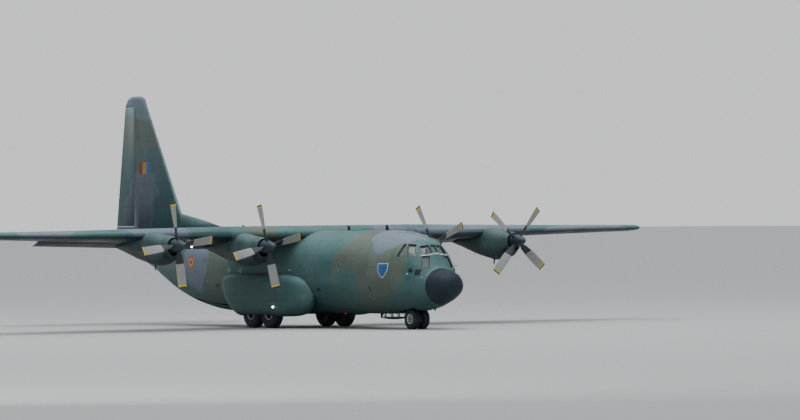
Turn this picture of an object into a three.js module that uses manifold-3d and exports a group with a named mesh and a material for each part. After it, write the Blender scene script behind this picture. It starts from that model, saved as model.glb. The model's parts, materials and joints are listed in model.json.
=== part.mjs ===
// Four-engined, high-winged military transport plane on its wheels, as a 1:2 scale model.
// Every size below is the full-size plane's, in millimetres. The outer group halves it.
// +Z is up, the nose points along -Y and the port side is +X.
// While modelling, Y = 0 lies midway between the main wheels and Z = 0 is the ground.

import * as THREE from "three";
import { mergeVertices } from "three/addons/utils/BufferGeometryUtils.js";
import Module from "manifold-3d";

const wasm = await Module();
wasm.setup();

const MODEL_SCALE = 0.5;
const SEAT = 0.6;        // gap between pieces that rest on each other
const CLEAR = 14;        // gap round a piece that moves
const SHAFT_GAP = 1.8;   // gap round a pin or shaft in its bore
const SIDES = { left: 1, right: -1 };

// Overall
const NOSE_TIP_Y = -12950;
const TAIL_END_Y = 16840;
const HALF_SPAN = 20205;

// Fuselage
const WALL = 90;
const RADOME_JOINT_Y = -11780;
const HOLD_FRONT_Y = -8590;
const RAMP_HINGE_Y = 3910;
const RAMP_END_Y = 7260;
const CARGO_DOOR_END_Y = 11300;
const HULL_HOLLOW_END_Y = 15400;
const CARGO_FLOOR_Z = 1030;
const FLIGHT_FLOOR_Z = 2180;
const HULL_POINTS = 32;

// Main gear and nose gear
const MAIN_WHEEL_X = 2175;
const MAIN_WHEEL_Y = 762;
const MAIN_TYRE_R = 710;
const MAIN_TYRE_W = 510;
const NOSE_GEAR_Y = -9770;
const NOSE_WHEEL_X = 280;
const NOSE_TYRE_R = 495;
const NOSE_TYRE_W = 330;
const WHEEL_SIDES = 24;

// Engines and propellers
const PROPELLER_Y = -4420;
const PROPELLER_R = 2055;
const ENGINES = [
  // number, distance from the centreline, hub height, angle of the first blade from upright
  { name: 1, x: 10160, z: 4130, blade: 40.7 },
  { name: 2, x: 4950, z: 4020, blade: -26.5 },
  { name: 3, x: -4950, z: 4020, blade: -13.2 },
  { name: 4, x: -10160, z: 4130, blade: -7.3 },
];

// Wing, tail and their hinges
const WING_JOINT_X = 5590;
const FLAP_INNER_X = 2330;
const FLAP_OUTER_X = 14370;
const AILERON_X = [14500, 19800];
const AILERON_HINGE = 0.76;
const FLAP_ARC_DROP = 1500;    // how far the centre of the flap tracks' arc lies below the wing
const FLAP_REST_DEG = 18;      // the flaps stand half way down
const ELEVATOR_HINGE = 0.66;
const ELEVATOR_X = [1160, 7700];
const RUDDER_HINGE_Y = 14420;
const RUDDER_Z = [5010, 11080];
const AILERON_SWING = 25;      // the largest swing of each, in degrees
const ELEVATOR_SWING = 40;
const RUDDER_SWING = 35;

const paint = (color, roughness = 0.6, metalness = 0) =>
  new THREE.MeshStandardMaterial({ color, roughness, metalness });
const GREEN = paint(0x3f5c50);
const OLIVE = paint(0x56563f);
const SLATE = paint(0x46545c);
const DARK = paint(0x20272c);
const RADOME = paint(0x1c2129, 0.5);
const PLATE = paint(0x8a8f91, 0.4, 0.6);
const TYRE = paint(0x17181a, 0.9);
const GLASS = paint(0x9fb3ba, 0.1);
const SEAT_CLOTH = paint(0x3b4034, 0.9);
const BLADE = paint(0x9a958e, 0.5);

const plane = new THREE.Group();
plane.name = "transport_plane";
plane.scale.setScalar(MODEL_SCALE);
plane.position.y = (-(NOSE_TIP_Y + TAIL_END_Y) / 2) * MODEL_SCALE;

// Small tools

const degrees = THREE.MathUtils.degToRad;
const lerp = THREE.MathUtils.lerp;
const BIG = 30000;

function solid(geometry) {
  const bare = new THREE.BufferGeometry();
  bare.setAttribute("position", geometry.getAttribute("position"));
  bare.setIndex(geometry.getIndex());
  const merged = mergeVertices(bare, 1e-3);
  const vertProperties = new Float32Array(merged.getAttribute("position").array);
  const triVerts = new Uint32Array(merged.getIndex().array);
  return new wasm.Manifold(new wasm.Mesh({ numProp: 3, vertProperties, triVerts }));
}

function geometryOf(body) {
  const { vertProperties, triVerts } = body.getMesh();
  const geometry = new THREE.BufferGeometry();
  geometry.setAttribute("position", new THREE.BufferAttribute(new Float32Array(vertProperties), 3));
  geometry.setIndex(new THREE.BufferAttribute(new Uint32Array(triVerts), 1));
  return geometry;
}

function add(name, body, material) {
  const mesh = new THREE.Mesh(geometryOf(body), material);
  mesh.name = name;
  plane.add(mesh);
  return mesh;
}

function sum(...bodies) {
  return bodies.reduce((all, body) => all.add(body));
}

// A closed skin over rings of like point counts, with flat ends
function loft(rings) {
  const count = rings[0].length;
  const positions = rings.flat().flatMap((p) => [p.x, p.y, p.z]);
  const faces = [];
  for (let i = 0; i + 1 < rings.length; i += 1) {
    for (let j = 0; j < count; j += 1) {
      const k = (j + 1) % count;
      const a = i * count;
      faces.push([a + j, a + k, a + count + k], [a + j, a + count + k, a + count + j]);
    }
  }
  for (const [start, turn] of [[0, -1], [(rings.length - 1) * count, 1]]) {
    const ring = rings[start / count];
    const normal = new THREE.Vector3();
    ring.forEach((p, j) => {
      const q = ring[(j + 1) % count];
      normal.x += (p.y - q.y) * (p.z + q.z);
      normal.y += (p.z - q.z) * (p.x + q.x);
      normal.z += (p.x - q.x) * (p.y + q.y);
    });
    const sideways = Math.abs(normal.z) > 0.9 * normal.length() ? new THREE.Vector3(1, 0, 0)
      : new THREE.Vector3(0, 0, 1);
    const u = sideways.cross(normal).normalize();
    const v = normal.clone().normalize().cross(u);
    const flat = ring.map((p) => new THREE.Vector2(p.dot(u), p.dot(v)));
    for (const [a, b, c] of THREE.ShapeUtils.triangulateShape(flat, [])) {
      faces.push(turn > 0 ? [start + a, start + b, start + c] : [start + a, start + c, start + b]);
    }
  }
  let volume = 0;
  const corner = (i) => new THREE.Vector3().fromArray(positions, 3 * i);
  for (const [a, b, c] of faces) volume += corner(a).dot(corner(b).cross(corner(c)));
  const index = faces.flatMap(([a, b, c]) => (volume > 0 ? [a, b, c] : [a, c, b]));
  const geometry = new THREE.BufferGeometry();
  geometry.setAttribute("position", new THREE.Float32BufferAttribute(positions, 3));
  geometry.setIndex(index);
  return solid(geometry);
}

function box(x, y, z) {
  const geometry = new THREE.BoxGeometry(x[1] - x[0], y[1] - y[0], z[1] - z[0]);
  geometry.translate((x[0] + x[1]) / 2, (y[0] + y[1]) / 2, (z[0] + z[1]) / 2);
  return solid(geometry);
}

// Outlines pushed out along one axis, between the two given places
function prism(points, from, to, basis) {
  const shape = new THREE.Shape(points.map(([a, b]) => new THREE.Vector2(a, b)));
  const geometry = new THREE.ExtrudeGeometry(shape, { depth: to - from, bevelEnabled: false });
  geometry.translate(0, 0, from);
  geometry.applyMatrix4(basis);
  return solid(geometry);
}
const X = new THREE.Vector3(1, 0, 0);
const Y = new THREE.Vector3(0, 1, 0);
const Z = new THREE.Vector3(0, 0, 1);
const alongX = (yz, x0, x1) => prism(yz, x0, x1, new THREE.Matrix4().makeBasis(Y, Z, X));
const alongY = (xz, y0, y1) =>
  prism(xz, -y1, -y0, new THREE.Matrix4().makeBasis(X, Z, Y.clone().negate()));
const alongZ = (xy, z0, z1) => prism(xy, z0, z1, new THREE.Matrix4());

function rod(from, to, radius, sides = 12) {
  const a = new THREE.Vector3(...from);
  const b = new THREE.Vector3(...to);
  const geometry = new THREE.CylinderGeometry(radius, radius, a.distanceTo(b), sides);
  geometry.rotateY(Math.PI / sides);
  const turn = new THREE.Quaternion().setFromUnitVectors(Y, b.clone().sub(a).normalize());
  geometry.applyQuaternion(turn);
  geometry.translate(...a.add(b).multiplyScalar(0.5));
  return solid(geometry);
}

// A profile of (radius, along) turned round an axis through a centre; a side lies flat below
function turned(profile, sides, centre, axis) {
  const toCorner = 1 / Math.cos(Math.PI / sides);
  const points = profile.map(([radius, along]) => new THREE.Vector2(radius * toCorner, along));
  const geometry = new THREE.LatheGeometry(points, sides);
  geometry.rotateY(Math.PI / sides);
  geometry.applyQuaternion(new THREE.Quaternion().setFromUnitVectors(Y, axis));
  geometry.translate(...centre);
  return solid(geometry);
}

// Rows of a table whose first column is the place, read between its lines
function readTable(table, place) {
  const last = table.length - 1;
  let i = 0;
  while (i < last - 1 && place > table[i + 1][0]) i += 1;
  const [low, high] = [table[i], table[i + 1]];
  const t = (place - low[0]) / (high[0] - low[0]);
  return low.map((value, column) => lerp(value, high[column], t));
}

// An oval ring across Y, with its own upper and lower half
function ovalRing(y, halfWidth, top, bottom, wide, power, count, centreX = 0) {
  const points = [];
  for (let i = 0; i < count; i += 1) {
    const angle = (2 * Math.PI * (i + 0.5)) / count;
    const [c, s] = [Math.cos(angle), Math.sin(angle)];
    const reach = s > 0 ? top - wide : wide - bottom;
    const x = halfWidth * Math.sign(c) * Math.abs(c) ** (2 / power);
    const z = wide + reach * Math.sign(s) * Math.abs(s) ** (2 / power);
    points.push(new THREE.Vector3(centreX + x, y, z));
  }
  return points;
}

// Fuselage skin: place along the plane, half width, top, bottom, height of the widest point, power
const HULL = [
  [NOSE_TIP_Y, 90, 2200, 2020, 2110, 2.0],
  [-12870, 380, 2450, 1800, 2100, 2.0],
  [-12680, 610, 2650, 1610, 2090, 2.0],
  [-12400, 790, 2790, 1440, 2080, 2.0],
  [-12080, 915, 2880, 1290, 2080, 2.0],
  [RADOME_JOINT_Y, 985, 2940, 1180, 2080, 2.0],
  [-11560, 1080, 3240, 1110, 2140, 2.0],
  [-11350, 1190, 3640, 1035, 2230, 2.0],
  [-11100, 1330, 3980, 990, 2310, 2.0],
  [-10850, 1460, 4210, 945, 2380, 2.0],
  [-10450, 1640, 4380, 885, 2440, 2.05],
  [-9900, 1840, 4530, 820, 2500, 2.1],
  [-9200, 2030, 4660, 765, 2560, 2.1],
  [HOLD_FRONT_Y, 2120, 4720, 735, 2610, 2.15],
  [-7800, 2160, 4750, 720, 2650, 2.2],
  [RAMP_HINGE_Y, 2160, 4750, 720, 2650, 2.2],
  [5600, 2120, 4780, 790, 2720, 2.2],
  [RAMP_END_Y, 1990, 4830, 1060, 2850, 2.2],
  [8900, 1780, 4870, 1540, 3080, 2.2],
  [10300, 1520, 4890, 2110, 3400, 2.2],
  [11600, 1230, 4890, 2690, 3720, 2.2],
  [13300, 850, 4860, 3220, 4020, 2.2],
  [15000, 500, 4790, 3650, 4200, 2.1],
  [16300, 230, 4660, 3990, 4320, 2.0],
  [TAIL_END_Y, 90, 4520, 4240, 4380, 2.0],
];

function hull(inset, from = NOSE_TIP_Y, to = TAIL_END_Y) {
  const places = [from, ...HULL.map((row) => row[0]).filter((y) => y > from && y < to), to];
  return loft(places.map((place) => {
    const [y, halfWidth, top, bottom, wide, power] = readTable(HULL, place);
    return ovalRing(y, halfWidth - inset, top - inset, bottom + inset, wide, power, HULL_POINTS);
  }));
}

const slice = (y0, y1) => box([-BIG, BIG], [y0, y1], [-BIG, BIG]);
const hullOutside = hull(0);
const hullInside = hull(WALL, RADOME_JOINT_Y + WALL, HULL_HOLLOW_END_Y);
const skin = hullOutside.subtract(hullInside);

// Lifting surfaces: each is a table of span place, quarter-chord place, chord, height, thickness
const WING = {
  table: [
    [0, -1190, 4880, 4500, 0.175],
    [WING_JOINT_X, -1190, 4880, 4500, 0.175],
    [HALF_SPAN, -1190, 2480, 4660, 0.12],
  ],
  incidence: degrees(3),
};
const TAIL = {
  table: [
    [0, 13560, 3120, 4520, 0.13],
    [8025, 14175, 1620, 4520, 0.12],
  ],
  incidence: 0,
};
const FIN_ROOT_Z = 4600;
const FIN_TOP_Z = 11660;
const FIN = {
  table: [
    [FIN_ROOT_Z, 11380, 6550, 0, 0.09],
    [11150, 13870, 1980, 0, 0.12],
    [11400, 13900, 1800, 0, 0.12],
    [11570, 13925, 1480, 0, 0.12],
    [FIN_TOP_Z, 14060, 900, 0, 0.12],
  ],
  incidence: 0,
};

// Chord fraction, then the upper and lower surface as fractions of the greatest thickness
const CAMBERED = [
  [0, 0, 0], [0.02, 0.23, -0.18], [0.08, 0.43, -0.31], [0.2, 0.57, -0.39], [0.38, 0.6, -0.4],
  [0.6, 0.47, -0.3], [0.8, 0.26, -0.15], [1, 0.02, -0.02],
];
const EVEN = [
  [0, 0, 0], [0.02, 0.2, -0.2], [0.1, 0.4, -0.4], [0.3, 0.5, -0.5],
  [0.6, 0.38, -0.38], [1, 0.03, -0.03],
];

// The place of a point of a section: along the chord from its front, and out of its plane
function wingPoint(surface, side, span, along, up) {
  const [, quarter, chord, height] = readTable(surface.table, span);
  const back = along - chord / 4;
  const { incidence } = surface;
  const y = quarter + back * Math.cos(incidence) + up * Math.sin(incidence);
  const z = height - back * Math.sin(incidence) + up * Math.cos(incidence);
  return new THREE.Vector3(side * span, y, z);
}

function finPoint(surface, side, span, along, up) {
  const [, quarter, chord] = readTable(surface.table, span);
  return new THREE.Vector3(up, quarter + along - chord / 4, span);
}

const NOSE_SHARE = 0.85;      // a hinged piece's nose radius as a share of half its thickness
const NOSE_STEPS = 8;
const TAIL_WALL = 40;

function profileAt(profile, fraction, thickness) {
  const [, upper, lower] = readTable(profile, fraction);
  return [upper * thickness, lower * thickness];
}

// A whole section, grown outwards by a gap
function fullSection(profile, chord, thickness, grow = 0) {
  const upper = profile.slice(1).map(([f, up]) => [f * chord, up * thickness + grow]);
  const lower = profile.slice(1).map(([f, , low]) => [f * chord, low * thickness - grow]);
  return [...upper.reverse(), [-grow, 0], ...lower];
}

// What moves behind a hinge: a round nose about the hinge, as far as it swings each way, then a
// step out to the section's own surface
function hingedSection(profile, hinge, swing, chord, thickness) {
  const [top, bottom] = profileAt(profile, hinge, thickness);
  const middle = (top + bottom) / 2;
  const nose = NOSE_SHARE * (top - middle);
  const points = [[chord, profileAt(profile, 1, thickness)[0]]];
  const past = degrees(swing + 3);
  const rise = hinge + (Math.tan(past) * (top - middle)) / chord;
  points.push([rise * chord, profileAt(profile, rise, thickness)[0]]);
  for (let i = 0; i <= NOSE_STEPS; i += 1) {
    const angle = lerp(-past, Math.PI + past, i / NOSE_STEPS);
    points.push([hinge * chord - nose * Math.sin(angle), middle + nose * Math.cos(angle)]);
  }
  points.push([rise * chord, profileAt(profile, rise, thickness)[1]]);
  points.push([chord, profileAt(profile, 1, thickness)[1]]);
  return points;
}

// The room that the hinged piece needs, and all that lies behind it
function hingeRoom(profile, hinge, chord, thickness) {
  const [top, bottom] = profileAt(profile, hinge, thickness);
  const middle = (top + bottom) / 2;
  const room = NOSE_SHARE * (top - middle) + CLEAR;
  const points = [[1.2 * chord, thickness], [hinge * chord, thickness]];
  for (let i = 0; i <= 6; i += 1) {
    const angle = (Math.PI * i) / 6;
    points.push([hinge * chord - room * Math.sin(angle), middle + room * Math.cos(angle)]);
  }
  points.push([hinge * chord, -thickness], [1.2 * chord, -thickness]);
  return points;
}

// The hollow of a fixed surface, open towards the piece hinged behind it
function pocketSection(profile, hinge, chord, thickness) {
  const share = 1 - (2 * TAIL_WALL) / thickness;
  const places = [hinge, 0.3, 0.1];
  const upper = places.map((f) => [f * chord, profileAt(profile, f, thickness)[0] * share]);
  const lower = places.map((f) => [f * chord, profileAt(profile, f, thickness)[1] * share]);
  return [...upper, ...lower.reverse()];
}

function spanLoft(surface, place, side, spans, section) {
  return loft(spans.map((span) => {
    const [, , chord, , ratio] = readTable(surface.table, span);
    return section(chord, chord * ratio, span)
      .map(([along, up]) => place(surface, side, span, along, up));
  }));
}

// Pins on a hinge line, through the gap at both ends of the piece that turns
const PIN_R = 22;
const PIN_REACH = 90;

function hingePoint(surface, side, span, profile, hinge) {
  const [, , chord, , ratio] = readTable(surface.table, span);
  const [top, bottom] = profileAt(profile, hinge, chord * ratio);
  return wingPoint(surface, side, span, hinge * chord, (top + bottom) / 2);
}

function hingePins(start, end, grow = 0) {
  const reach = end.clone().sub(start).setLength(PIN_REACH + 5 * grow);
  return sum(...[start, end].map((place) => rod(
    place.clone().sub(reach).toArray(), place.clone().add(reach).toArray(), PIN_R + grow)));
}

// Wing box, with the room for the flaps under its upper skin

const COVE_FRONT = 0.7;
const COVE_LIP = 0.93;
const FLAP_FRONT = 0.715;
const FLAP_ARC = 0.8;          // where the centre of the tracks' arc lies, as a fraction of the chord

// The straight underside of the lip, and the arc that the flap's top follows below it
function lipUnderside(chord, thickness, fraction) {
  const front = profileAt(CAMBERED, COVE_FRONT, thickness)[0] - 0.09 * thickness;
  const back = profileAt(CAMBERED, COVE_LIP, thickness)[0] - 0.03 * thickness;
  return lerp(front, back, (fraction - COVE_FRONT) / (COVE_LIP - COVE_FRONT));
}

function coveSection(chord, thickness) {
  return [
    [1.2 * chord, thickness],
    [COVE_LIP * chord, thickness],
    [COVE_LIP * chord, lipUnderside(chord, thickness, COVE_LIP)],
    [COVE_FRONT * chord, lipUnderside(chord, thickness, COVE_FRONT)],
    [COVE_FRONT * chord, -thickness],
    [1.2 * chord, -thickness],
  ];
}

function flapArc(chord, thickness, grow = 0) {
  const tangent = lipUnderside(chord, thickness, FLAP_ARC) + FLAP_ARC_DROP;
  const slope = (lipUnderside(chord, thickness, COVE_LIP) - lipUnderside(chord, thickness, COVE_FRONT))
    / ((COVE_LIP - COVE_FRONT) * chord);
  const radius = tangent * Math.cos(Math.atan(slope)) - CLEAR + grow;
  return (f) => Math.sqrt(radius ** 2 - ((f - FLAP_ARC) * chord) ** 2) - FLAP_ARC_DROP;
}

// Rails hang from the lip, and their lower edge follows the flap's arc just above it
const RAIL_WIDTH = 70;
const RAIL_ENDS = [0.72, 0.92];
const RAIL_STEPS = 8;

function railSection(chord, thickness, gap) {
  const arc = flapArc(chord, thickness, gap);
  const low = [...Array(RAIL_STEPS + 1).keys()].map((i) => {
    const f = lerp(...RAIL_ENDS, i / RAIL_STEPS);
    return [f * chord, arc(f)];
  });
  const high = RAIL_ENDS.map((f) => [f * chord, lipUnderside(chord, thickness, f) + 6]);
  return [...high.reverse(), ...low];
}

function rails(side, spans, places, gap) {
  const whole = spanLoft(WING, wingPoint, side, spans, (c, t) => railSection(c, t, gap));
  const slabs = places.map((x) => box([side * x - RAIL_WIDTH / 2, side * x + RAIL_WIDTH / 2],
    [-BIG, BIG], [-BIG, BIG]));
  return whole.intersect(sum(...slabs));
}

function flapSection(chord, thickness) {
  const top = flapArc(chord, thickness);
  const low = (f) => profileAt(CAMBERED, f, thickness)[1];
  const noseTop = top(FLAP_FRONT + 0.03);
  const noseLow = low(FLAP_FRONT + 0.03);
  const upper = [0.94, 0.86, 0.8].map((f) => [f * chord, Math.min(top(f),
    profileAt(CAMBERED, f, thickness)[0])]);
  return [
    [chord, profileAt(CAMBERED, 1, thickness)[0]],
    ...upper,
    [(FLAP_FRONT + 0.03) * chord, noseTop],
    [(FLAP_FRONT + 0.006) * chord, lerp(noseLow, noseTop, 0.72)],
    [FLAP_FRONT * chord, lerp(noseLow, noseTop, 0.4)],
    [(FLAP_FRONT + 0.01) * chord, lerp(noseLow, noseTop, 0.12)],
    [(FLAP_FRONT + 0.03) * chord, noseLow],
    [0.86 * chord, low(0.86)],
    [chord, profileAt(CAMBERED, 1, thickness)[1]],
  ];
}

const flapArcPoint = (side, span) => {
  const chord = readTable(WING.table, span)[2];
  return wingPoint(WING, side, span, FLAP_ARC * chord, -FLAP_ARC_DROP);
};

// A flap is drawn drawn-in and then swung down its arc to where it stands
function lowered(flap, side, spans) {
  const start = flapArcPoint(side, spans[0]);
  const axis = flapArcPoint(side, spans[1]).sub(start).multiplyScalar(side).normalize();
  const geometry = geometryOf(flap);
  geometry.translate(-start.x, -start.y, -start.z);
  geometry.applyQuaternion(new THREE.Quaternion().setFromAxisAngle(axis, -degrees(FLAP_REST_DEG)));
  geometry.translate(start.x, start.y, start.z);
  return solid(geometry);
}

const coveCut = (side, spans) => spanLoft(WING, wingPoint, side, spans, coveSection);
const innerFlapSpan = [FLAP_INNER_X, WING_JOINT_X - 60];
const outerFlapSpan = [WING_JOINT_X + 60, FLAP_OUTER_X];
const INNER_RAILS = { x: [2900, 4950], gap: SHAFT_GAP };
const OUTER_RAILS = { x: [6300, 8900, 11500, 13900], gap: 3 };

const OUTER_WING_SPANS = [WING_JOINT_X + SEAT / 2, AILERON_X[0], HALF_SPAN - 250];
const centreSpans = [-WING_JOINT_X + SEAT / 2, WING_JOINT_X - SEAT / 2];
let wingCentre = loft(centreSpans.map((x) => {
  const [, , chord, , ratio] = readTable(WING.table, Math.abs(x));
  return fullSection(CAMBERED, chord, chord * ratio)
    .map(([along, up]) => wingPoint(WING, Math.sign(x), Math.abs(x), along, up));
}));
for (const side of Object.values(SIDES)) {
  wingCentre = wingCentre.subtract(coveCut(side, [FLAP_INNER_X - CLEAR, WING_JOINT_X + 100]))
    .add(rails(side, innerFlapSpan, INNER_RAILS.x, INNER_RAILS.gap));
}
add("wing_center", wingCentre, GREEN);

for (const [name, side] of Object.entries(SIDES)) {
  const tipRings = [[HALF_SPAN - 80, 0.86], [HALF_SPAN, 0.6]];
  const wholeRings = OUTER_WING_SPANS.map((span) => [span, 1]);
  const rings = [...wholeRings, ...tipRings].map(([span, shrink]) => {
    const [, , chord, , ratio] = readTable(WING.table, span);
    const ring = fullSection(CAMBERED, chord * shrink, chord * ratio * shrink);
    return ring.map(([along, up]) =>
      wingPoint(WING, side, span, along + chord * (1 - shrink) * 0.35, up));
  });
  const hinge = (c, t) => hingeRoom(CAMBERED, AILERON_HINGE, c, t);
  const aileronRoom = [AILERON_X[0] - CLEAR, AILERON_X[1] + CLEAR];
  const aileronLine = AILERON_X.map((x) => hingePoint(WING, side, x, CAMBERED, AILERON_HINGE));
  const outer = loft(rings)
    .subtract(coveCut(side, [WING_JOINT_X - 100, FLAP_OUTER_X + 90]))
    .subtract(spanLoft(WING, wingPoint, side, aileronRoom, hinge))
    .add(rails(side, outerFlapSpan, OUTER_RAILS.x, OUTER_RAILS.gap))
    .add(hingePins(...aileronLine));
  add(`wing_outer_${name}`, outer, GREEN);
  const inner = spanLoft(WING, wingPoint, side, innerFlapSpan, flapSection);
  add(`flap_inboard_${name}`, lowered(inner, side, innerFlapSpan), GREEN);
  const far = spanLoft(WING, wingPoint, side, outerFlapSpan, flapSection);
  add(`flap_outboard_${name}`, lowered(far, side, outerFlapSpan), GREEN);
  const aileron = (c, t) => hingedSection(CAMBERED, AILERON_HINGE, AILERON_SWING, c, t);
  add(`aileron_${name}`, spanLoft(WING, wingPoint, side, AILERON_X, aileron)
    .subtract(hingePins(...aileronLine, SHAFT_GAP)), GREEN);
}

// Fuselage skin pieces, cut where the real panels meet

const wingSeat = loft([-3000, 3000].map((x) => {
  const [, , chord, , ratio] = readTable(WING.table, 0);
  return fullSection(CAMBERED, chord, chord * ratio, SEAT)
    .map(([along, up]) => wingPoint(WING, Math.sign(x), Math.abs(x), along, up));
}));

// Windows of one side, drawn on the side (along, up) or on the front (across, up)
const SIDE_WINDOWS = [
  [[-10640, 3470], [-10220, 3470], [-10230, 4090], [-10330, 4090]],
  [[-11110, 3470], [-10710, 3470], [-10390, 4090], [-10750, 4070]],
];
const FRONT_WINDOWS = [
  [[-140, 3690], [140, 3690], [140, 4040], [-140, 4040]],
  [[210, 3660], [720, 3600], [640, 3990], [210, 4040]],
];
const CHIN_WINDOW = [[600, 2950], [930, 2950], [780, 3500], [380, 3520]];
const GLAZED = { y: [-11750, -9900], z: [2880, 4200] };

const crewDoorOutline = (grow) => [
  [-9480 - grow, 1080 - grow], [-8720 + grow, 1080 - grow],
  [-8720 + grow, 2280 + grow], [-9480 - grow, 2280 + grow],
];
// Lugs below the crew door hold pins in the knuckles under the door's lower edge
const CREW_HINGE = { x: 1300, z: 1070, lugs: [-9380, -8820], knuckles: [-9326, -8874], width: 40 };
const KNUCKLE_R = 24;
const KNUCKLE_PIN_R = 11;
const crewHingeRod = (y, width, radius) =>
  rod([CREW_HINGE.x, y - width / 2, CREW_HINGE.z], [CREW_HINGE.x, y + width / 2, CREW_HINGE.z], radius);
const crewLugs = sum(...CREW_HINGE.lugs.flatMap((y) => [
  box([1110, CREW_HINGE.x], [y - CREW_HINGE.width / 2, y + CREW_HINGE.width / 2], [1046, 1066]),
  crewHingeRod(y, CREW_HINGE.width, KNUCKLE_R),
]));
const crewPins = (grow) => sum(...CREW_HINGE.lugs.map((y, i) =>
  crewHingeRod((y + CREW_HINGE.knuckles[i]) / 2, 94 + grow, KNUCKLE_PIN_R + grow)));
const crewKnuckles = sum(...CREW_HINGE.knuckles.flatMap((y) => [
  box([CREW_HINGE.x - KNUCKLE_R, CREW_HINGE.x + KNUCKLE_R],
    [y - CREW_HINGE.width / 2, y + CREW_HINGE.width / 2], [CREW_HINGE.z, 1170]),
  crewHingeRod(y, CREW_HINGE.width, KNUCKLE_R),
]));
const noseWell = box([-720, 720], [-10480, -9060], [0, 1500]);
const mirrored = (outline) => outline.map(([a, b]) => [-a, b]);

let nose = skin.intersect(slice(RADOME_JOINT_Y + SEAT / 2, HOLD_FRONT_Y - SEAT / 2));
const windowCuts = [];
for (const side of Object.values(SIDES)) {
  const reach = [side * 150, side * 3000].sort((a, b) => a - b);
  for (const outline of SIDE_WINDOWS) windowCuts.push(alongX(outline, ...reach));
  for (const outline of [...FRONT_WINDOWS, CHIN_WINDOW]) {
    windowCuts.push(alongY(side > 0 ? outline : mirrored(outline), -13000, -10700));
  }
}
const windows = sum(...windowCuts);
nose = nose.subtract(windows).subtract(noseWell)
  .subtract(alongX(crewDoorOutline(CLEAR), 500, 3000))
  .add(crewLugs).add(crewPins(0));

// The glass is one curved pane behind all the cut windows
const GLASS_THICK = 24;
const glassInset = WALL + SEAT + GLASS_THICK;
const glassFront = RADOME_JOINT_Y + WALL + SEAT;
const glassBand = hull(WALL + SEAT, glassFront, -9000)
  .subtract(hull(glassInset, glassFront + GLASS_THICK, -8990));
const insideGlass = hull(glassInset + SEAT, glassFront + GLASS_THICK + SEAT, -9000);
const glass = glassBand.intersect(box([-2500, 2500], GLAZED.y, GLAZED.z));

add("radome", hullOutside.intersect(slice(-BIG, RADOME_JOINT_Y - SEAT / 2)), RADOME);
add("nose_section", nose, GREEN);
add("flight_deck_glazing", glass, GLASS);

const crewDoor = skin.intersect(alongX(crewDoorOutline(0), 500, 3000))
  .add(crewKnuckles).subtract(crewPins(SHAFT_GAP));
add("crew_door", crewDoor, GREEN);

const insideSeat = hull(WALL + SEAT, RADOME_JOINT_Y + WALL + SEAT, HULL_HOLLOW_END_Y - SEAT);

let centre = skin.intersect(slice(HOLD_FRONT_Y + SEAT / 2, RAMP_HINGE_Y - SEAT / 2));
centre = centre.subtract(wingSeat);
add("fuselage_center", centre, OLIVE);

// Rear fuselage with its ramp, cargo door and side doors
const RAMP_FRONT_Y = RAMP_HINGE_Y + 56;
const rampOutline = (grow) => [
  [-1400 - grow, RAMP_FRONT_Y - grow], [1400 + grow, RAMP_FRONT_Y - grow],
  [1330 + grow, RAMP_END_Y - 40 + grow], [-1330 - grow, RAMP_END_Y - 40 + grow],
];
const doorOutline = (grow) => [
  [-1320 - grow, RAMP_END_Y - grow], [1320 + grow, RAMP_END_Y - grow],
  [780 + grow, CARGO_DOOR_END_Y + grow], [-780 - grow, CARGO_DOOR_END_Y + grow],
];
const belowWaist = (outline) => alongZ(outline, 0, 3000);
const PARATROOP_DOOR = { y: [4650, 5550], z: [1480, 3250] };
const paratroopRoom = (side, grow) => {
  const reach = [side * 1430, side * 3000].sort((a, b) => a - b);
  const { y, z } = PARATROOP_DOOR;
  return box(reach, [y[0] - grow, y[1] + grow], [z[0] - grow, z[1] + grow]);
};
let aft = skin.intersect(slice(RAMP_HINGE_Y + SEAT / 2, BIG))
  .subtract(belowWaist(rampOutline(CLEAR)))
  .subtract(box([-1330, 1330], [RAMP_END_Y - 60, RAMP_END_Y], [0, 3000]))
  .subtract(belowWaist(doorOutline(CLEAR)));
for (const side of Object.values(SIDES)) aft = aft.subtract(paratroopRoom(side, SEAT));

// Two lugs at the front edge of the ramp's opening, each round a pin of the ramp
const RAMP_HINGE = { y: RAMP_HINGE_Y + 70, z: 765, x: [-250, 250], lugR: 30, pinR: 12 };
const rampHingeRod = (x, half, radius) =>
  rod([x - half, RAMP_HINGE.y, RAMP_HINGE.z], [x + half, RAMP_HINGE.y, RAMP_HINGE.z], radius);
const rampLugs = sum(...RAMP_HINGE.x.flatMap((x) => [
  box([x - 30, x + 30], [RAMP_HINGE_Y + SEAT / 2, RAMP_HINGE.y],
    [RAMP_HINGE.z - RAMP_HINGE.lugR, RAMP_HINGE.z + RAMP_HINGE.lugR]),
  rampHingeRod(x, 30, RAMP_HINGE.lugR),
]));
const rampLugRoom = sum(...RAMP_HINGE.x.map((x) => box([x - 30 - CLEAR, x + 30 + CLEAR],
  [0, RAMP_HINGE.y + RAMP_HINGE.lugR + CLEAR], [0, RAMP_HINGE.z + RAMP_HINGE.lugR + CLEAR])));
const rampPins = (half, grow) => sum(...RAMP_HINGE.x.map((x) =>
  rampHingeRod(x, half, RAMP_HINGE.pinR + grow)));

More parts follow.
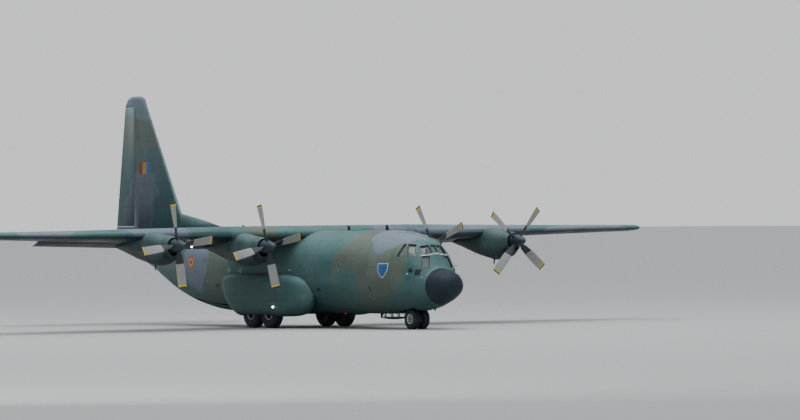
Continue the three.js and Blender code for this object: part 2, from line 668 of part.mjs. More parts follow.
// The cargo door hangs by two arms from a tube across the tail cone
const DOOR_HINGE = { y: CARGO_DOOR_END_Y, z: 2900, arms: [-400, 400], tubeR: 30, eyeR: 60 };
const doorHingeRod = (x0, x1, radius) =>
  rod([x0, DOOR_HINGE.y, DOOR_HINGE.z], [x1, DOOR_HINGE.y, DOOR_HINGE.z], radius);
const doorArmOutline = [[11100, 2580], [11220, 2600], [11350, 2880], [11250, 2930]];
const doorArms = sum(...DOOR_HINGE.arms.flatMap((x) => [
  alongX(doorArmOutline, x - 25, x + 25), doorHingeRod(x - 25, x + 25, DOOR_HINGE.eyeR),
]));
const doorTube = doorHingeRod(-1100, 1100, DOOR_HINGE.tubeR).intersect(hull(20));
aft = aft.add(rampLugs.subtract(rampPins(40, SHAFT_GAP))).add(doorTube);
add("fuselage_aft", aft, SLATE);

// The ramp is a deep panel whose top carries on the cargo floor
const rampTop = alongX([
  [RAMP_HINGE_Y - 100, -500], [RAMP_HINGE_Y - 100, CARGO_FLOOR_Z],
  [RAMP_FRONT_Y, CARGO_FLOOR_Z], [RAMP_END_Y - 160, 1300], [RAMP_END_Y - 40, 1040],
  [RAMP_END_Y - 40, -500],
], -1500, 1500);
const ramp = hullOutside.intersect(belowWaist(rampOutline(0))).intersect(rampTop)
  .subtract(rampLugRoom).add(rampPins(60, 0));
add("ramp", ramp, SLATE);
add("cargo_door", skin.intersect(belowWaist(doorOutline(0))).add(doorArms)
  .subtract(doorHingeRod(-1100, 1100, DOOR_HINGE.tubeR + SHAFT_GAP)), SLATE);
for (const [name, side] of Object.entries(SIDES)) {
  add(`paratroop_door_${name}`, skin.intersect(paratroopRoom(side, 0)), SLATE);
}

// Inside of the hold and flight deck

const cargoFloor = box([-1700, 1700], [HOLD_FRONT_Y + 40, RAMP_HINGE_Y - 20],
  [CARGO_FLOOR_Z - 90, CARGO_FLOOR_Z]).intersect(insideSeat);
add("cargo_floor", cargoFloor, PLATE);
const flightFloor = box([-1900, 1900], [-11300, HOLD_FRONT_Y + 20],
  [FLIGHT_FLOOR_Z - 80, FLIGHT_FLOOR_Z]).intersect(insideSeat);
add("flight_deck_floor", flightFloor, PLATE);

const panelProfile = [
  [-11220, FLIGHT_FLOOR_Z + SEAT], [-10960, FLIGHT_FLOOR_Z + SEAT],
  [-10900, 2900], [-10760, 3160], [-10960, 3400], [-11220, 3340],
];
add("instrument_panel", alongX(panelProfile, -860, 860).intersect(insideGlass), DARK);

const seatProfile = [
  [-10180, 0], [-9820, 0], [-9820, 330], [-9720, 360], [-9600, 1130], [-9720, 1150],
  [-9870, 500], [-10280, 500], [-10300, 400], [-10180, 360],
];
for (const [name, side] of Object.entries(SIDES)) {
  const place = seatProfile.map(([y, z]) => [y, z + FLIGHT_FLOOR_Z + SEAT]);
  const edges = [side * 270, side * 770].sort((a, b) => a - b);
  add(`seat_${name}`, alongX(place, ...edges), SEAT_CLOTH);
}

// Tail surfaces, shaped to the fuselage where they stand on it

const hullSeat = hull(-SEAT);

const rudderFraction = (span) => {
  const [, quarter, chord] = readTable(FIN.table, span);
  return (RUDDER_HINGE_Y - quarter + chord / 4) / chord;
};
const rudderRoom = spanLoft(FIN, finPoint, 1, [RUDDER_Z[0] - CLEAR, RUDDER_Z[1] + CLEAR],
  (c, t, span) => hingeRoom(EVEN, rudderFraction(span), c, t));
const finBlade = spanLoft(FIN, finPoint, 1, [FIN_ROOT_Z, 11150, FIN_TOP_Z - 160, FIN_TOP_Z],
  (c, t) => fullSection(EVEN, c, t));

// Fillet ahead of the fin: place, top, half width at its foot
const DORSAL = [[5950, 4800, 20], [8200, 5270, 70], [10400, 5640, 150], [11600, 5900, 190]];
const dorsal = loft(DORSAL.map(([y, top, half]) => [
  new THREE.Vector3(-half, y, 4560), new THREE.Vector3(half, y, 4560),
  new THREE.Vector3(half * 0.4, y, top), new THREE.Vector3(-half * 0.4, y, top),
]));
const rudderLine = RUDDER_Z.map((z) => new THREE.Vector3(0, RUDDER_HINGE_Y, z));
const finPocket = spanLoft(FIN, finPoint, 1, [RUDDER_Z[0] + 200, RUDDER_Z[1] - 200],
  (c, t, span) => pocketSection(EVEN, rudderFraction(span), c, t));
add("fin", finBlade.add(dorsal).subtract(rudderRoom).subtract(finPocket).subtract(hullSeat)
  .add(hingePins(...rudderLine)), GREEN);
add("rudder", spanLoft(FIN, finPoint, 1, RUDDER_Z,
  (c, t, span) => hingedSection(EVEN, rudderFraction(span), RUDDER_SWING, c, t))
  .subtract(hingePins(...rudderLine, SHAFT_GAP)), GREEN);

for (const [name, side] of Object.entries(SIDES)) {
  const tip = 8025;
  const rings = [[250, 1], [tip - 200, 1], [tip - 50, 0.88], [tip, 0.66]].map(([span, shrink]) => {
    const [, , chord, , ratio] = readTable(TAIL.table, span);
    return fullSection(EVEN, chord * shrink, chord * ratio * shrink).map(([along, up]) =>
      wingPoint(TAIL, side, span, along + chord * (1 - shrink) * 0.4, up));
  });
  const room = spanLoft(TAIL, wingPoint, side, [ELEVATOR_X[0] - CLEAR, ELEVATOR_X[1] + CLEAR],
    (c, t) => hingeRoom(EVEN, ELEVATOR_HINGE, c, t));
  const line = ELEVATOR_X.map((x) => hingePoint(TAIL, side, x, EVEN, ELEVATOR_HINGE));
  const pocket = spanLoft(TAIL, wingPoint, side, [ELEVATOR_X[0] + 200, ELEVATOR_X[1] - 200],
    (c, t) => pocketSection(EVEN, ELEVATOR_HINGE, c, t));
  add(`stabilizer_${name}`, loft(rings).subtract(room).subtract(pocket).subtract(hullSeat)
    .add(hingePins(...line)), GREEN);
  add(`elevator_${name}`, spanLoft(TAIL, wingPoint, side, ELEVATOR_X,
    (c, t) => hingedSection(EVEN, ELEVATOR_HINGE, ELEVATOR_SWING, c, t))
    .subtract(hingePins(...line, SHAFT_GAP)), GREEN);
}

// Nacelles: aft of the propeller, half width, top, bottom and widest height above the hub, power
const NACELLE = [
  [330, 430, 400, -560, -40, 2.2],
  [620, 510, 460, -780, -120, 2.3],
  [1150, 570, 520, -920, -160, 2.4],
  [1900, 590, 640, -890, -120, 2.4],
  [2700, 580, 600, -750, -80, 2.4],
  [3600, 520, 400, -520, -60, 2.3],
  [4500, 400, 160, -270, -60, 2.2],
  [5000, 290, 60, -150, -50, 2.0],
];
const NACELLE_WALL = 45;
const ENGINE_BLOCK = { x: 350, y: [780, 3000], z: [-330, 300] };
const ENGINE_MOUNTS_Y = [1000, 2500];
const SHAFT_R = 60;

const nacelleLoft = (engine, inset, overrun) => loft(NACELLE.map((row, i) => {
  const [back, halfWidth, top, bottom, wide, power] = row;
  const end = { 0: -overrun, [NACELLE.length - 1]: overrun }[i] ?? 0;
  return ovalRing(PROPELLER_Y + back + end, halfWidth - inset, engine.z + top - inset,
    engine.z + bottom + inset, engine.z + wide, power, 18, engine.x);
}));
const wingOver = (side) => loft([0, ...OUTER_WING_SPANS].map((span) => {
  const [, , chord, , ratio] = readTable(WING.table, span);
  return fullSection(CAMBERED, chord, chord * ratio, SEAT)
    .map(([along, up]) => wingPoint(WING, side, span, along, up));
}));

// A propeller blade's stations: radius, chord, thickness, pitch in degrees
const BLADE_STATIONS = [
  [260, 150, 150, 50], [480, 310, 120, 46], [900, 400, 84, 38],
  [1250, 420, 52, 30], [1750, 430, 34, 22], [PROPELLER_R, 410, 20, 17],
];
const SPINNER = [[0, -640], [60, -615], [150, -510], [225, -330], [285, -90], [320, 270], [0, 270]];
const SPINNER_END = 270;

function propeller(engine) {
  const hub = new THREE.Vector3(engine.x, PROPELLER_Y, engine.z);
  const blades = [0, 90, 180, 270].map((turn) => {
    const angle = degrees(engine.blade + turn);
    const outward = new THREE.Vector3(Math.sin(angle), 0, Math.cos(angle));
    const across = new THREE.Vector3(Math.cos(angle), 0, -Math.sin(angle));
    return loft(BLADE_STATIONS.map(([radius, chord, thick, pitch]) => {
      const chordwise = across.clone().multiplyScalar(Math.cos(degrees(pitch)))
        .addScaledVector(Y, Math.sin(degrees(pitch)));
      const through = new THREE.Vector3().crossVectors(outward, chordwise);
      return [...Array(8).keys()].map((i) => {
        const round = (2 * Math.PI * (i + 0.5)) / 8;
        return hub.clone().addScaledVector(outward, radius)
          .addScaledVector(chordwise, (chord / 2) * Math.cos(round))
          .addScaledVector(through, (thick / 2) * Math.sin(round));
      });
    }));
  });
  const spinner = turned(SPINNER, 16, hub.toArray(), Y);
  const bore = rod([hub.x, hub.y, hub.z], [hub.x, hub.y + SPINNER_END + 50, hub.z],
    SHAFT_R + SHAFT_GAP, 16);
  return sum(spinner, ...blades).subtract(bore);
}

for (const engine of ENGINES) {
  const over = wingOver(Math.sign(engine.x));
  const shell = nacelleLoft(engine, 0, 0).subtract(nacelleLoft(engine, NACELLE_WALL, 30));
  add(`nacelle_${engine.name}`, shell.subtract(over), GREEN);
  const room = nacelleLoft(engine, NACELLE_WALL + SEAT, 0);
  const half = ENGINE_BLOCK.x;
  const [front, back] = ENGINE_BLOCK.y.map((y) => PROPELLER_Y + y);
  const heights = ENGINE_BLOCK.z.map((z) => engine.z + z);
  const block = box([engine.x - half, engine.x + half], [front, back], heights);
  const mounts = ENGINE_MOUNTS_Y.map((y) => box([engine.x - 900, engine.x + 900],
    [PROPELLER_Y + y, PROPELLER_Y + y + 90], [engine.z - 60, engine.z + 60]));
  const shaft = rod([engine.x, PROPELLER_Y + 10, engine.z], [engine.x, front + 10, engine.z], SHAFT_R);
  const inside = sum(block, ...mounts).intersect(room).subtract(over);
  add(`engine_${engine.name}`, inside.add(shaft), PLATE);
  add(`propeller_${engine.name}`, propeller(engine), BLADE);
}

// Main gear fairings: place, half width, top, bottom, widest height, power
const FAIRING_X = 1960;
const FAIRING = [
  [-3950, 60, 1600, 1350, 1480, 2],
  [-3850, 230, 1950, 1100, 1480, 2.1],
  [-3350, 540, 2410, 770, 1490, 2.6],
  [-2850, 670, 2540, 650, 1500, 3.4],
  [-1900, 760, 2635, 570, 1500, 5],
  [1500, 760, 2640, 580, 1500, 5],
  [2100, 745, 2640, 760, 1650, 4],
  [2600, 690, 2635, 1050, 1850, 3.2],
  [3100, 500, 2600, 1450, 2080, 2.6],
  [3600, 170, 2500, 1950, 2250, 2.2],
  [3700, 60, 2420, 2150, 2290, 2],
];
const WELL = { x: [1250, 2580], y: [-1620, 1620], top: 2440 };
const GEAR_DOOR = { y: [-1700, 1400], top: 1540 };
const STRUT_X = 1790;
const STRUT_R = 80;
const AXLE_R = 60;

const sided = (side, x) => x.map((value) => side * value).sort((a, b) => a - b);

for (const [name, side] of Object.entries(SIDES)) {
  const body = loft(FAIRING.map(([y, halfWidth, top, bottom, wide, power]) =>
    ovalRing(y, halfWidth, top, bottom, wide, power, 28, side * FAIRING_X)));
  const fairing = body.subtract(hullSeat)
    .subtract(box(sided(side, WELL.x), WELL.y, [0, WELL.top]));
  const panel = (grow) => box(sided(side, [2450 - grow, 3000]),
    [GEAR_DOOR.y[0] - grow, GEAR_DOOR.y[1] + grow], [0, GEAR_DOOR.top + grow]);
  add(`gear_fairing_${name}`, fairing.subtract(panel(SEAT)), SLATE);
  add(`main_gear_door_${name}`, fairing.intersect(panel(0)), PLATE);

  const legs = [-1, 1].map((way) => {
    const y = way * MAIN_WHEEL_Y;
    const leg = rod([side * STRUT_X, y, MAIN_TYRE_R - 90], [side * STRUT_X, y, 2050], STRUT_R);
    const axle = rod([side * STRUT_X, y, MAIN_TYRE_R],
      [side * (MAIN_WHEEL_X + 170), y, MAIN_TYRE_R], AXLE_R);
    return leg.add(axle);
  });
  const link = box(sided(side, [STRUT_X - 45, STRUT_X + 45]),
    [-MAIN_WHEEL_Y, MAIN_WHEEL_Y], [1180, 1300]);
  add(`main_strut_${name}`, sum(...legs, link).subtract(hullSeat), PLATE);
}

function wheel(radius, width, bore, hubHalf, rim, centre) {
  const half = width / 2;
  const profile = [
    [bore, -hubHalf], [rim * 0.45, -hubHalf], [rim, -half * 0.75],
    [radius * 0.8, -half], [radius * 0.96, -half * 0.7], [radius, -half * 0.3],
  ];
  const back = profile.map(([r, along]) => [r, -along]).reverse();
  return turned([...profile, ...back, profile[0]], WHEEL_SIDES, centre, X);
}

for (const [name, side] of Object.entries(SIDES)) {
  for (const [end, way] of [["front", -1], ["rear", 1]]) {
    const centre = [side * MAIN_WHEEL_X, way * MAIN_WHEEL_Y, MAIN_TYRE_R];
    const body = wheel(MAIN_TYRE_R, MAIN_TYRE_W, AXLE_R + SHAFT_GAP, 150, 260, centre);
    add(`main_wheel_${end}_${name}`, body, TYRE);
  }
}

// Nose gear: a leg on a beam across the bay, the part that steers, and the two wheels
const LEG_BOTTOM_Z = 1010;
const KINGPIN_R = 45;
const NOSE_AXLE_R = 50;
const leg = rod([0, NOSE_GEAR_Y, LEG_BOTTOM_Z], [0, NOSE_GEAR_Y, 1700], 85, 16);
const beam = box([-1700, 1700], [NOSE_GEAR_Y - 70, NOSE_GEAR_Y + 70], [1540, 1660])
  .intersect(insideSeat);
const kingpinBore = rod([0, NOSE_GEAR_Y, LEG_BOTTOM_Z - 10], [0, NOSE_GEAR_Y, 1262],
  KINGPIN_R + SHAFT_GAP, 16);
add("nose_strut", leg.add(beam).subtract(kingpinBore), PLATE);

const noseHub = [0, NOSE_GEAR_Y, NOSE_TYRE_R];
const piston = rod([0, NOSE_GEAR_Y, NOSE_TYRE_R - 60], [0, NOSE_GEAR_Y, LEG_BOTTOM_Z - SHAFT_GAP], 62, 16);
const kingpin = rod([0, NOSE_GEAR_Y, LEG_BOTTOM_Z - 60], [0, NOSE_GEAR_Y, 1260], KINGPIN_R, 16);
const sleeve = rod([-100, NOSE_GEAR_Y, NOSE_TYRE_R], [100, NOSE_GEAR_Y, NOSE_TYRE_R], 85, 16);
const sleeveBore = rod([-130, NOSE_GEAR_Y, NOSE_TYRE_R], [130, NOSE_GEAR_Y, NOSE_TYRE_R],
  NOSE_AXLE_R + SHAFT_GAP, 16);
const linkPlate = box([-40, 40], [NOSE_GEAR_Y + 50, NOSE_GEAR_Y + 190], [560, 980]);
add("nose_steering", sum(piston, kingpin, sleeve, linkPlate).subtract(sleeveBore), PLATE);

const pair = [-1, 1].map((way) => wheel(NOSE_TYRE_R, NOSE_TYRE_W, 20, 110, 190,
  [way * NOSE_WHEEL_X, NOSE_GEAR_Y, NOSE_TYRE_R]));
const noseAxle = rod([-NOSE_WHEEL_X - 60, NOSE_GEAR_Y, NOSE_TYRE_R],
  [NOSE_WHEEL_X + 60, NOSE_GEAR_Y, NOSE_TYRE_R], NOSE_AXLE_R, 16);
add("nose_wheels", sum(...pair, noseAxle), TYRE);

// Door plate that hangs behind the nose gear on its brackets
const doorPlate = alongZ([[-330, -8820], [330, -8820], [330, -7250], [120, -6920],
  [-120, -6920], [-330, -7250]], 450, 560);
const brackets = [-8650, -8050, -7450].flatMap((y) => [-200, 200].map((x) =>
  box([x - 25, x + 25], [y - 50, y + 50], [550, 900])));
add("nose_gear_door_aft", sum(doorPlate, ...brackets).subtract(hullSeat), DARK);

export default plane;
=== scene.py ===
"""Looks of a four-engined transport plane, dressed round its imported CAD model.

Sizes in the tables are the full-size plane's in metres, measured as in the part's source: x from
the centreline (port is +x), y aft from midway between the main wheels, z up from the ground.
place() halves them into the model's own frame, because the part is a 1:2 scale model.
"""

import json
import math

import bmesh
import bpy
import numpy as np
from mathutils import Matrix, Vector

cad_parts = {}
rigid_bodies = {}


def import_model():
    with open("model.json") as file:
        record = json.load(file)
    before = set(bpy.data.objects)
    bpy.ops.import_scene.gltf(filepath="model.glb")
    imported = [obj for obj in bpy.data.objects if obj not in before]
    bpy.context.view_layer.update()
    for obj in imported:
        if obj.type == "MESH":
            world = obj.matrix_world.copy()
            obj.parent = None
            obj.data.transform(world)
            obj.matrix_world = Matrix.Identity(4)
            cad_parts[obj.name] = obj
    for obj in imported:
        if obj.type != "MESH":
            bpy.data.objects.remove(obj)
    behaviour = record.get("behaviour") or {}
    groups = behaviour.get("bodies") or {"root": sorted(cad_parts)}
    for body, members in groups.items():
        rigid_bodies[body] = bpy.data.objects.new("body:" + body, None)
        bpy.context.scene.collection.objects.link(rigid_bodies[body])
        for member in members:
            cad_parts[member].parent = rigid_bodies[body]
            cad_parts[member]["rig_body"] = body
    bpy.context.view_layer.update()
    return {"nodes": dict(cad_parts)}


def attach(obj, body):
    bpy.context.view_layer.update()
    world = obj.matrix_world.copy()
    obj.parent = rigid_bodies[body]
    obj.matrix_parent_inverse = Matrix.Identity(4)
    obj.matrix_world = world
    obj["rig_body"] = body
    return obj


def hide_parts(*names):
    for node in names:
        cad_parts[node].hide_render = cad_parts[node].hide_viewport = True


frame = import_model()

SCALE = 0.5
ORIGIN_Y = 1.945
SIDES = {"left": 1, "right": -1}


def place(x, y, z):
    """A full-size point in the model's frame."""
    return Vector((x * SCALE, (y - ORIGIN_Y) * SCALE, z * SCALE))


# Mesh helpers


def mesh_object(name, points, faces, smooth_angle):
    """A mesh object of points in the model's frame, smooth up to an angle between its faces."""
    mesh = bpy.data.meshes.new(name)
    mesh.from_pydata([tuple(p) for p in points], [], faces)
    mesh.update()
    return finish_mesh(name, mesh, smooth_angle)


def finish_mesh(name, mesh, smooth_angle):
    obj = bpy.data.objects.new(name, mesh)
    bpy.context.scene.collection.objects.link(obj)
    mesh.shade_smooth()
    mesh.set_sharp_from_angle(angle=math.radians(smooth_angle))
    return obj


def from_bmesh(name, shape, smooth_angle, outward=False):
    if outward:
        bmesh.ops.recalc_face_normals(shape, faces=shape.faces)
    mesh = bpy.data.meshes.new(name)
    shape.to_mesh(mesh)
    shape.free()
    return finish_mesh(name, mesh, smooth_angle)


def dress(obj, material, body, slot, *replaced):
    """Paints a piece, hangs it on its body and hides the CAD nodes it stands for."""
    obj.data.materials.clear()
    obj.data.materials.append(material)
    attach(obj, body)
    if replaced:
        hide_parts(*replaced)


def body_of(node):
    return frame["nodes"][node]["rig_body"]


def merged_copy(node):
    """The CAD node's mesh with its loose triangles joined, for a finer piece that replaces it."""
    same_point = 2e-5
    shape = bmesh.new()
    shape.from_mesh(frame["nodes"][node].data)
    bmesh.ops.remove_doubles(shape, verts=shape.verts, dist=same_point)
    return shape


def joined(name, parts, smooth_angle, outward=True):
    """One object from several (points, faces) lists; a face that is there already is left out."""
    shape = bmesh.new()
    for points, faces in parts:
        verts = [shape.verts.new(p) for p in points]
        for face in faces:
            try:
                shape.faces.new([verts[i] for i in face])
            except ValueError:
                continue
    return from_bmesh(name, shape, smooth_angle, outward)


def ring_faces(rows, count, closed=True, ends=True):
    """Faces over rows of rings of count points each."""
    faces = []
    for i in range(rows - 1):
        for j in range(count if closed else count - 1):
            k = (j + 1) % count
            faces.append((i * count + j, i * count + k, (i + 1) * count + k, (i + 1) * count + j))
    if ends:
        faces.append(tuple(range(count))[::-1])
        faces.append(tuple((rows - 1) * count + j for j in range(count)))
    return faces


def loft(rings, ends=True):
    points = [p for ring in rings for p in ring]
    return points, ring_faces(len(rings), len(rings[0]), True, ends)


def full_turn(count):
    """Even angles round a circle."""
    return np.linspace(0, 2 * math.pi, count, endpoint=False)


def box(low, high):
    """A box between two full-size corners."""
    (x0, y0, z0), (x1, y1, z1) = low, high
    points = [place(x, y, z) for z in (z0, z1) for x, y in ((x0, y0), (x1, y0), (x1, y1), (x0, y1))]
    faces = [(3, 2, 1, 0), (4, 5, 6, 7), (0, 1, 5, 4), (1, 2, 6, 5), (2, 3, 7, 6), (3, 0, 4, 7)]
    return points, faces


def tube(path, radius, sides, ends=True):
    """A round bar along full-size points; radius is one number or one for each point."""
    path = [Vector(p) for p in path]
    radii = [radius] * len(path) if isinstance(radius, (int, float)) else radius
    rings = []
    for i, centre in enumerate(path):
        along = (path[min(i + 1, len(path) - 1)] - path[max(i - 1, 0)]).normalized()
        side = along.cross(Vector((0, 0, 1)) if abs(along.z) < 0.9 else Vector((1, 0, 0))).normalized()
        other = along.cross(side)
        rings.append([
            place(*(centre + (side * math.cos(a) + other * math.sin(a)) * radii[i]))
            for a in (2 * math.pi * k / sides for k in range(sides))
        ])
    return loft(rings, ends)


def lathe(profile, centre, axis, sides):
    """A closed profile of (radius, along) turned about an axis through a full-size centre."""
    axis = Vector(axis).normalized()
    side = axis.cross(Vector((0, 0, 1)) if abs(axis.z) < 0.9 else Vector((1, 0, 0))).normalized()
    other = axis.cross(side)
    rows = []
    for k in range(sides):
        a = 2 * math.pi * k / sides
        out = side * math.cos(a) + other * math.sin(a)
        rows.append([place(*(Vector(centre) + out * r + axis * t)) for r, t in profile])
    count = len(profile)
    points = [p for row in rows for p in row]
    faces = []
    for k in range(sides):
        n = (k + 1) % sides
        for j in range(count):
            i = (j + 1) % count
            if profile[j][0] < 1e-9 and profile[i][0] < 1e-9:
                continue
            faces.append((k * count + j, k * count + i, n * count + i, n * count + j))
    return points, faces


# Node helpers


def node(tree, kind, inputs=None, **settings):
    """A shader node. An input takes a plain value or another node's output."""
    made = tree.nodes.new(kind)
    for key, value in settings.items():
        setattr(made, key, value)
    for key, value in (inputs or {}).items():
        socket = made.inputs[key]
        if isinstance(value, bpy.types.NodeSocket):
            tree.links.new(value, socket)
        else:
            socket.default_value = value
    return made


def maths(tree, operation, *values):
    return node(tree, "ShaderNodeMath", dict(enumerate(values)), operation=operation).outputs[0]


def span(tree, value, low, high, to_low=0.0, to_high=1.0, smooth=True):
    """Maps a value from one span to another."""
    kind = "SMOOTHSTEP" if smooth else "LINEAR"
    inputs = {"Value": value, "From Min": low, "From Max": high, "To Min": to_low, "To Max": to_high}
    return node(tree, "ShaderNodeMapRange", inputs, interpolation_type=kind).outputs["Result"]


def blend(tree, mask, under, over, kind="MIX"):
    """Mixes two colours by a mask. Sockets 6 and 7 are the node's pair for colours."""
    made = node(tree, "ShaderNodeMix", data_type="RGBA", blend_type=kind)
    for index, value in ((0, mask), (6, under), (7, over)):
        if isinstance(value, bpy.types.NodeSocket):
            tree.links.new(value, made.inputs[index])
        else:
            made.inputs[index].default_value = value
    return made.outputs[2]


def noise(tree, position, scale, detail, roughness=0.55):
    inputs = {"Vector": position, "Scale": scale, "Detail": detail, "Roughness": roughness}
    return node(tree, "ShaderNodeTexNoise", inputs).outputs["Fac"]


def stretched(tree, position, factors):
    return node(tree, "ShaderNodeMapping", {"Vector": position, "Scale": factors}).outputs[0]


def parts_of(tree, vector):
    return node(tree, "ShaderNodeSeparateXYZ", {0: vector}).outputs


def new_group(name, inputs, outputs):
    """A shader node group: inputs are (name, socket type, default)."""
    tree = bpy.data.node_groups.new(name, "ShaderNodeTree")
    for label, kind, default in inputs:
        socket = tree.interface.new_socket(label, in_out="INPUT", socket_type=kind)
        if default is not None:
            socket.default_value = default
    for label, kind in outputs:
        tree.interface.new_socket(label, in_out="OUTPUT", socket_type=kind)
    return tree, tree.nodes.new("NodeGroupInput").outputs, tree.nodes.new("NodeGroupOutput").inputs


def use(tree, group, **inputs):
    """Places a group in a material; names have _ where the group's have a space."""
    made = tree.nodes.new("ShaderNodeGroup")
    made.node_tree = group
    for key, value in inputs.items():
        socket = made.inputs[key.replace("_", " ")]
        if isinstance(value, bpy.types.NodeSocket):
            tree.links.new(value, socket)
        else:
            socket.default_value = value
    return made.outputs


FLOAT, COLOUR, VECTOR = "NodeSocketFloat", "NodeSocketColor", "NodeSocketVector"


def colour(red, green, blue):
    return (red, green, blue, 1.0)


# Shared effects

# Paints of the camouflage
GREEN = colour(0.030, 0.098, 0.096)
OLIVE = colour(0.068, 0.092, 0.068)
SLATE = colour(0.098, 0.130, 0.168)

# Patches on the fuselage and fin, over green: centre (y, z), reach (y, z), paint. A fuselage patch
# repeats on the port side, moved aft by PORT_SHIFT.
FUSELAGE_PATCHES = [
    ((-8.15, 3.10), (2.50, 2.20), OLIVE),
    ((-6.85, 2.20), (0.80, 0.75), GREEN),
    ((-9.55, 4.85), (1.65, 1.05), SLATE),
    ((4.30, 2.90), (1.10, 1.70), OLIVE),
    ((6.20, 3.30), (1.15, 1.45), SLATE),
    ((9.20, 3.50), (1.30, 1.00), OLIVE),
]
FIN_PATCHES = [
    ((13.55, 7.00), (1.50, 1.20), SLATE),
    ((13.90, 5.50), (1.75, 1.45), SLATE),
    ((14.10, 9.65), (2.60, 0.92), OLIVE),
    ((14.40, 11.60), (2.30, 1.15), SLATE),
]
PORT_SHIFT = 1.1


def camouflage_group():
    """Soft-edged patches of three paints: set ones near the middle plane, loose ones elsewhere."""
    tree, given, out = new_group(
        "camouflage",
        [("Position", VECTOR, None), ("Edge", FLOAT, 0.05)],
        [("Color", COLOUR)],
    )
    position, edge = given["Position"], given["Edge"]
    wobble = node(tree, "ShaderNodeTexNoise", {"Vector": position, "Scale": 0.9, "Detail": 2.0})
    shifted = node(tree, "ShaderNodeVectorMath", {0: wobble.outputs["Color"], 1: (0.5, 0.5, 0.5)},
                   operation="SUBTRACT").outputs[0]
    pushed = node(tree, "ShaderNodeVectorMath", {0: shifted, 1: (0.9, 0.9, 0.9)},
                  operation="MULTIPLY").outputs[0]
    point = node(tree, "ShaderNodeVectorMath", {0: position, 1: pushed}, operation="ADD").outputs[0]
    loose = noise(tree, point, 0.34, 0.0)
    paint = blend(tree, span(tree, loose, 0.53, 0.55), GREEN, SLATE)
    paint = blend(tree, span(tree, loose, 0.45, 0.43), paint, OLIVE)
    x, _, z = parts_of(tree, position)[:3]
    near = span(tree, maths(tree, "ABSOLUTE", x), 1.52, 1.48)
    port = span(tree, x, -0.02, 0.02, 0.0, -PORT_SHIFT * SCALE)
    below_fin = span(tree, z, 2.55, 2.45)
    back = maths(tree, "MULTIPLY", port, below_fin)
    moved = node(tree, "ShaderNodeVectorMath",
                 {0: point, 1: node(tree, "ShaderNodeCombineXYZ", {1: back}).outputs[0]}, operation="ADD")
    fixed = GREEN
    for (cy, cz), (reach_y, reach_z), tint in FUSELAGE_PATCHES + FIN_PATCHES:
        centre = place(0, cy, cz)
        inputs = {"Vector": moved.outputs[0], "Scale": (0.0, 1 / (reach_y * SCALE), 1 / (reach_z * SCALE)),
                  "Location": (0, -centre.y / (reach_y * SCALE), -centre.z / (reach_z * SCALE))}
        local = node(tree, "ShaderNodeMapping", inputs).outputs[0]
        distance = node(tree, "ShaderNodeVectorMath", {0: local}, operation="LENGTH").outputs["Value"]
        low = maths(tree, "SUBTRACT", 1.0, edge)
        high = maths(tree, "ADD", 1.0, edge)
        fixed = blend(tree, span(tree, distance, high, low), fixed, tint)
    paint = blend(tree, near, paint, fixed)
    tree.links.new(paint, out["Color"])
    return tree


def weather_group():
    """Faded and stained paint: slow changes of tone, streaks down the sides, small dirt."""
    tree, given, out = new_group(
        "weather",
        [("Position", VECTOR, None), ("Fading", FLOAT, 0.25), ("Streaks", FLOAT, 0.3),
         ("Dirt", FLOAT, 0.25)],
        [("Light", FLOAT), ("Dark", FLOAT), ("Roughness", FLOAT)],
    )
    position = given["Position"]
    slow = noise(tree, position, 1.6, 4.0, 0.6)
    drips = noise(tree, stretched(tree, position, (9.0, 9.0, 0.7)), 1.0, 3.0, 0.6)
    wind = noise(tree, stretched(tree, position, (7.0, 0.5, 7.0)), 1.0, 3.0, 0.6)
    fine = noise(tree, position, 30.0, 4.0, 0.7)
    light = maths(tree, "MULTIPLY", span(tree, slow, 0.35, 0.7), given["Fading"])
    streaks = maths(tree, "MULTIPLY", span(tree, maths(tree, "MULTIPLY", drips, wind), 0.28, 0.45),
                    given["Streaks"])
    dirt = maths(tree, "MULTIPLY", span(tree, fine, 0.5, 0.75), given["Dirt"])
    tree.links.new(light, out["Light"])
    tree.links.new(maths(tree, "MAXIMUM", streaks, dirt), out["Dark"])
    tree.links.new(span(tree, slow, 0.3, 0.7, 0.45, 0.62), out["Roughness"])
    return tree


